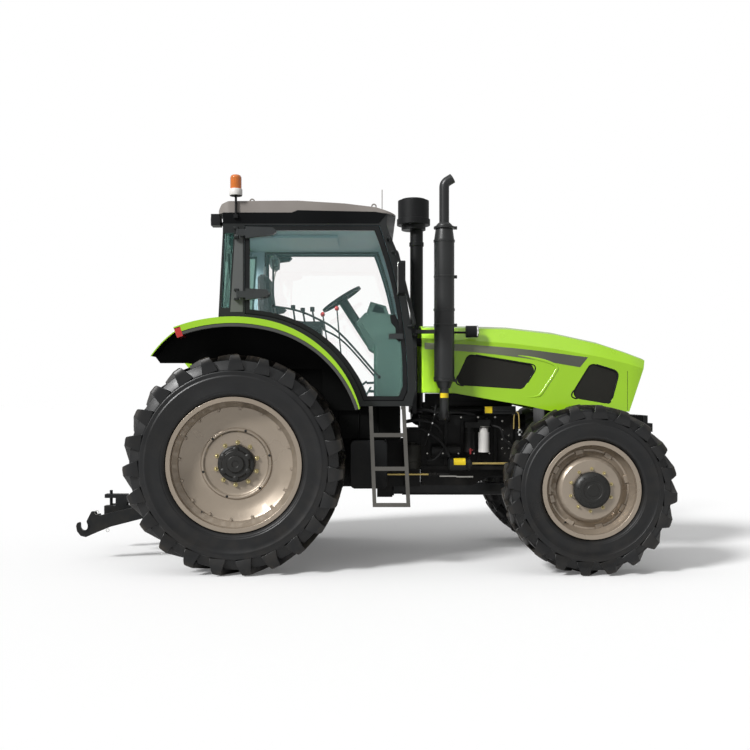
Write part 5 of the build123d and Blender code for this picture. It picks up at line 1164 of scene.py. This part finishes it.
dome_rows = [(47, 0), (49, 3)]
for n in range(12):
    dome_rows += [(48 - n * 0.15, 6 + n * 8), (46.4 - n * 0.15, 9 + n * 8), (46.4 - n * 0.15, 11 + n * 8)]
dome_rows += [(44, 106), (40, 115), (28, 121), (0, 122)]
dome = (mm_lathe, dome_rows, (-22, BEACON_SIDE, 3230), UP, 40)
bay_piece("beacon_lens", [dome], amber_lens, sharp=50, slot="amber_lens")
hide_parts("beacon_dome")

# ------------------------------------------------------------------ hitch and ladder trims
rings = bmesh.new()
for x, z, size in ((-1332, 432, 18), (-1235, 273, 14)):
    for side in (-1, 1):
        centre = at(x, 352 * side, z)
        loop = [centre + Vector((math.cos(a), 0.12 * math.sin(a), math.sin(a))) * size / 1000
                for a in [2 * math.pi * k / 20 for k in range(20)]]
        add_tube(rings, loop + loop[:1], 0.0022, 6, smooth=False)
add_piece("linch_pin_rings", rings, steel, "lower_links", 40)

# ------------------------------------------------------------------ door seals, pillar covers and console cowl
SHOULDER_CENTRE, SHOULDER_ARC, CROWN_ARC, ARC_JOIN = (52, 1109), 1016, 1383, 78.9
CROWN_CENTRE = (-18.7, 748.9)
DOOR_LIFT = 42


def arc(centre, radius, angle_from, angle_to, count):
    """X, Z places in millimetres along an arc; angles in degrees from straight ahead."""
    angles = [math.radians(angle_from + (angle_to - angle_from) * n / (count - 1)) for n in range(count)]
    return [(centre[0] + radius * math.cos(a), centre[1] + radius * math.sin(a)) for a in angles]


def door_outline():
    """Edge of the door opening: up the front pillar, along the top, down the rear and along the fender."""
    front = smooth_line([(1437, 0, 1520), (1420, 0, 1895), (1372, 0, 2270), (1298, 0, 2598), (1196, 0, 2926)], 22)
    crown = arc(CROWN_CENTRE, CROWN_ARC + DOOR_LIFT, 87.2, ARC_JOIN, 5)
    shoulder = arc(SHOULDER_CENTRE, SHOULDER_ARC + DOOR_LIFT, ARC_JOIN, 17.85, 26)
    return [(p.x, p.z) for p in front] + [(50, 2926), (50, 2176)] + crown[1:] + shoulder[1:] + [(1401, 1433)]


def outline_band(work, outline, inset, y_from, y_to):
    """Closed band just inside an outline, square in section, between two y planes."""
    count = len(outline)
    rings = []
    for n, (x, z) in enumerate(outline):
        before, after = Vector(outline[n - 1]), Vector(outline[(n + 1) % count])
        here = Vector((x, z))
        first, second = (here - before).normalized(), (after - here).normalized()
        inward = Vector((-(first.y + second.y), first.x + second.x)).normalized()
        inward /= max(0.5, inward.dot(Vector((-first.y, first.x))))
        inner = here + inward * inset
        rings.append([work.verts.new(at(p[0], y, p[1])) for p, y in
                      ((here, y_from), (here, y_to), (inner, y_to), (inner, y_from))])
    skin_rings(work, rings, closed=True)


for hand, side in SIDES:
    seal = bmesh.new()
    outline_band(seal, door_outline(), 20, 744 * side, 771 * side)
    add_piece(f"door_seal_{hand}", seal, rubber, "chassis", 35, bevel=0.002)
    cover = bmesh.new()
    mm_plate(cover, [(-30, 2850), (36, 2850), (36, 2190), (-72, 2190)], 0.803 * side, 0.799 * side)
    add_piece(f"pillar_cover_{hand}", cover, pillar_grey, "chassis", 30, bevel=0.0012)
    # near-black box filling the gap between tank and cab: painted shade for that gap
    box = bmesh.new()
    side_block(box, side, (690, 330, 1098), (1380, 610, 1384))
    for x in (840, 1010, 1180):
        side_block(box, side, (x, 600, 1110), (x + 14, 622, 1372))
    add_piece(f"battery_box_{hand}", box, painted_shade_black, "chassis", 30, bevel=0.008)

ROOF_BAND = [(-134, 2944), (1190, 2944), (1258, 3020), (1160, 3040), (500, 3054), (450, 3034), (-134, 3034)]
SKIRT = [(150, 1770), (700, 1760), (900, 1560), (1010, 1400), (900, 1200), (640, 1250), (420, 1480), (150, 1640)]
for hand, side in SIDES:
    band = bmesh.new()
    mm_plate(band, ROOF_BAND, 0.8035 * side, 0.799 * side)
    add_piece(f"roof_band_{hand}", band, roof_band, "chassis", 30)
    # near-black skirt under the cab platform: painted shade for the gap behind it
    skirt = bmesh.new()
    mm_plate(skirt, SKIRT, 0.600 * side, 0.590 * side)
    add_piece(f"platform_skirt_{hand}", skirt, painted_shade_black, "chassis", 30, bevel=0.002)

bay_piece("shaft_guard", [
    (mm_block, (1330, -134, 668), (2700, -26, 676)),
    (mm_block, (1330, -138, 600), (2700, -132, 676)),
    (mm_block, (1330, -28, 600), (2700, -22, 676)),
], black_paint, bevel=0.002)
cowl = bmesh.new()
COWL = [(985, 2150), (1075, 2245), (1100, 2215), (1120, 2250), (1160, 2330), (1250, 2290), (1275, 2140),
        (1240, 2000), (1180, 1860), (1105, 1900), (1040, 2030)]
mm_plate(cowl, COWL, -0.16, 0.16)
add_piece("console_cowl", cowl, console_plastic, "chassis", 30, bevel=0.012, segments=3)

# ------------------------------------------------------------------ seat
PAD_GRAIN = 0.0055
FILL_PRESSURE = 4
FILL_FRAMES = 20


def stuffed(name, work, cap, keep):
    """Closed pad filled by cloth pressure; no point moves further than cap, and keep holds it in its space."""
    bmesh.ops.recalc_face_normals(work, faces=work.faces)
    pad = placed(name, as_mesh(name, work))
    even = pad.modifiers.new("even", "REMESH")
    even.mode = "VOXEL"
    even.voxel_size = PAD_GRAIN
    pad.data = settled(pad)
    pad.modifiers.remove(even)
    start = [v.co.copy() for v in pad.data.vertices]
    filling = pad.modifiers.new("filling", "CLOTH")
    filling.settings.quality = 4
    filling.settings.use_pressure = True
    filling.settings.uniform_pressure_force = FILL_PRESSURE
    filling.settings.effector_weights.gravity = 0
    for frame_number in range(1, FILL_FRAMES + 1):
        bpy.context.scene.frame_set(frame_number)
    swollen = settled(pad)
    pad.modifiers.remove(filling)
    for v, before, after in zip(pad.data.vertices, start, swollen.vertices):
        move = after.co - before
        v.co = keep(before + move * min(1.0, cap / max(move.length, 1e-9)))
    bpy.context.scene.frame_set(1)
    return pad


def sewn(pad, depth_at):
    """Presses sewn channels into a pad; depth_at gives the inward move of a point."""
    normals = [v.normal.copy() for v in pad.data.vertices]
    for v, normal in zip(pad.data.vertices, normals):
        v.co -= normal * depth_at(v.co, normal)


def channel(distance, depth=0.007, width=0.010):
    """Depth of a rounded sewn channel at a distance from its line."""
    return depth * math.exp(-((distance / width) ** 2))


def finish_pad(pad, material):
    """Gives a pad its fabric, smooth shading and its place in the part."""
    pad.data.materials.clear()
    pad.data.materials.append(material)
    pad.data.polygons.foreach_set("use_smooth", [True] * len(pad.data.polygons))
    smooth = pad.modifiers.new("smooth", "SUBSURF")
    smooth.levels = smooth.render_levels = 1
    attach(pad, "chassis")


def piping(name, pad, centre, ways, radius=0.004):
    """Cord sewn round a pad, where rays from its middle leave it."""
    work = bmesh.new()
    work.from_mesh(pad.data)
    tree = BVHTree.FromBMesh(work)
    work.free()
    places = []
    for way in ways:
        hit = tree.ray_cast(centre + way * 0.6, -way)[0]
        places.append(hit)
    run = bmesh.new()
    add_tube(run, places + places[:1], radius, 8, smooth=False)
    return add_piece(name, run, black_plastic, "chassis", 60)


def rounded(work, offset):
    """Rounds every edge of a pad before it is filled."""
    bmesh.ops.bevel(work, geom=list(work.edges), offset=offset, segments=3, affect="EDGES")
    return work


CUSHION_REAR, CUSHION_FRONT = at(165, 0, 0).x, at(569, 0, 0).x
CUSHION_FOOT, CUSHION_CROWN = 1.9005, 2.0185


def within_the_seat(p):
    """Holds a point of the cushion clear of the seat base and the backrest."""
    return Vector((min(max(p.x, CUSHION_REAR), CUSHION_FRONT), p.y, min(max(p.z, CUSHION_FOOT), CUSHION_CROWN)))


work = bmesh.new()
mm_block(work, (170, -232, 1901), (560, 232, 2008))
seat_pad = stuffed("seat_pad", rounded(work, 0.028), 0.010, within_the_seat)
sewn(seat_pad, lambda p, n: channel(abs(p.y) - 0.150) * max(0.0, n.z)
     + channel(p.x - at(330, 0, 0).x) * max(0.0, n.z) * (abs(p.y) < 0.15))
finish_pad(seat_pad, seat_fabric)
work = bmesh.new()
BACKREST = [(157, 2036), (252, 2036), (174, 2592), (98, 2592), (98, 2300), (122, 2090), (157, 2088)]
mm_plate(work, BACKREST, -0.226, 0.226)
back_pad = stuffed("seat_back_pad", rounded(work, 0.018), 0.009, lambda p: p)
sewn(back_pad, lambda p, n: channel(abs(p.y) - 0.140) * max(0.0, n.x)
     + (channel(p.z - 2.24) + channel(p.z - 2.42)) * max(0.0, n.x) * (abs(p.y) < 0.14))
finish_pad(back_pad, seat_fabric)
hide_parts("seat_cushions")
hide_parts("seat_cushions")
work = bmesh.new()
mm_block(work, (196, -130, 2640), (262, 130, 2780))
head_pad = stuffed("headrest_pad", rounded(work, 0.022), 0.008, lambda p: p)
finish_pad(head_pad, headrest_fabric)
turns = [2 * math.pi * n / 72 for n in range(72)]
around = [Vector((math.cos(a), math.sin(a), 0)) for a in turns]
piping("seat_piping", seat_pad, at(365, 0, 1975), around)
upright = [Vector((0, math.cos(a), math.sin(a))) for a in turns]
piping("seat_back_piping", back_pad, at(150, 0, 2320), upright)

# ------------------------------------------------------------------ studio
floor_mesh = bmesh.new()
bmesh.ops.create_grid(floor_mesh, x_segments=1, y_segments=1, size=120)
floor = placed("floor", as_mesh("floor", floor_mesh))
floor_material, tree, shader = start_material("floor_white", (0.86, 0.86, 0.86), 0.9, Specular_IOR_Level=0.0)
rays = node(tree, "ShaderNodeLightPath")
seen = math_node(tree, "MAXIMUM", rays.outputs["Is Camera Ray"], rays.outputs["Is Transmission Ray"])
bounced = mix_colours(tree, rays.outputs["Is Diffuse Ray"], (0.86, 0.86, 0.86, 1), (0.22, 0.22, 0.22, 1))
tree.links.new(bounced, shader.inputs["Base Color"])
shader.inputs["Emission Color"].default_value = (1, 1, 1, 1)
tree.links.new(math_node(tree, "MULTIPLY", seen, 0.10), shader.inputs["Emission Strength"])
floor.data.materials.append(floor_material)

world = bpy.data.worlds.new("studio")
bpy.context.scene.world = world
world.use_nodes = True
tree = world.node_tree
rays = node(tree, "ShaderNodeLightPath")
direct = math_node(tree, "MAXIMUM", rays.outputs["Is Camera Ray"], rays.outputs["Is Transmission Ray"])
background = tree.nodes["Background"]
background.inputs["Color"].default_value = (1, 1, 1, 1)
soft = ramp(tree, rays.outputs["Is Glossy Ray"], 0.0, 1.0, 0.34, 0.52)
tree.links.new(math_node(tree, "MAXIMUM", direct, soft), background.inputs["Strength"])


def add_sun(name, strength, angle, way):
    """Broad light that travels along a direction; the angle is its spread in degrees."""
    light = bpy.data.lights.new(name, "SUN")
    light.energy = strength
    light.angle = math.radians(angle)
    placed(name, light).rotation_euler = Vector(way).to_track_quat("-Z", "Y").to_euler()


add_sun("key_softbox", 3.1, 12, (1.0, 1.0, -0.95))
add_sun("overhead_softbox", 0.55, 70, (0.15, 0.3, -1.0))

camera_data = bpy.data.cameras.new("camera")
camera = placed("camera", camera_data)
camera.location = (REAR_X + 1.133, -9.15, 1.467)
camera.rotation_euler = (math.pi / 2, 0, 0)
camera_data.lens = 47.14
camera_data.sensor_width = 36
camera_data.shift_x = 0.004
camera_data.shift_y = 0.0293
bpy.context.scene.camera = camera
bpy.context.scene.view_settings.view_transform = "Standard"
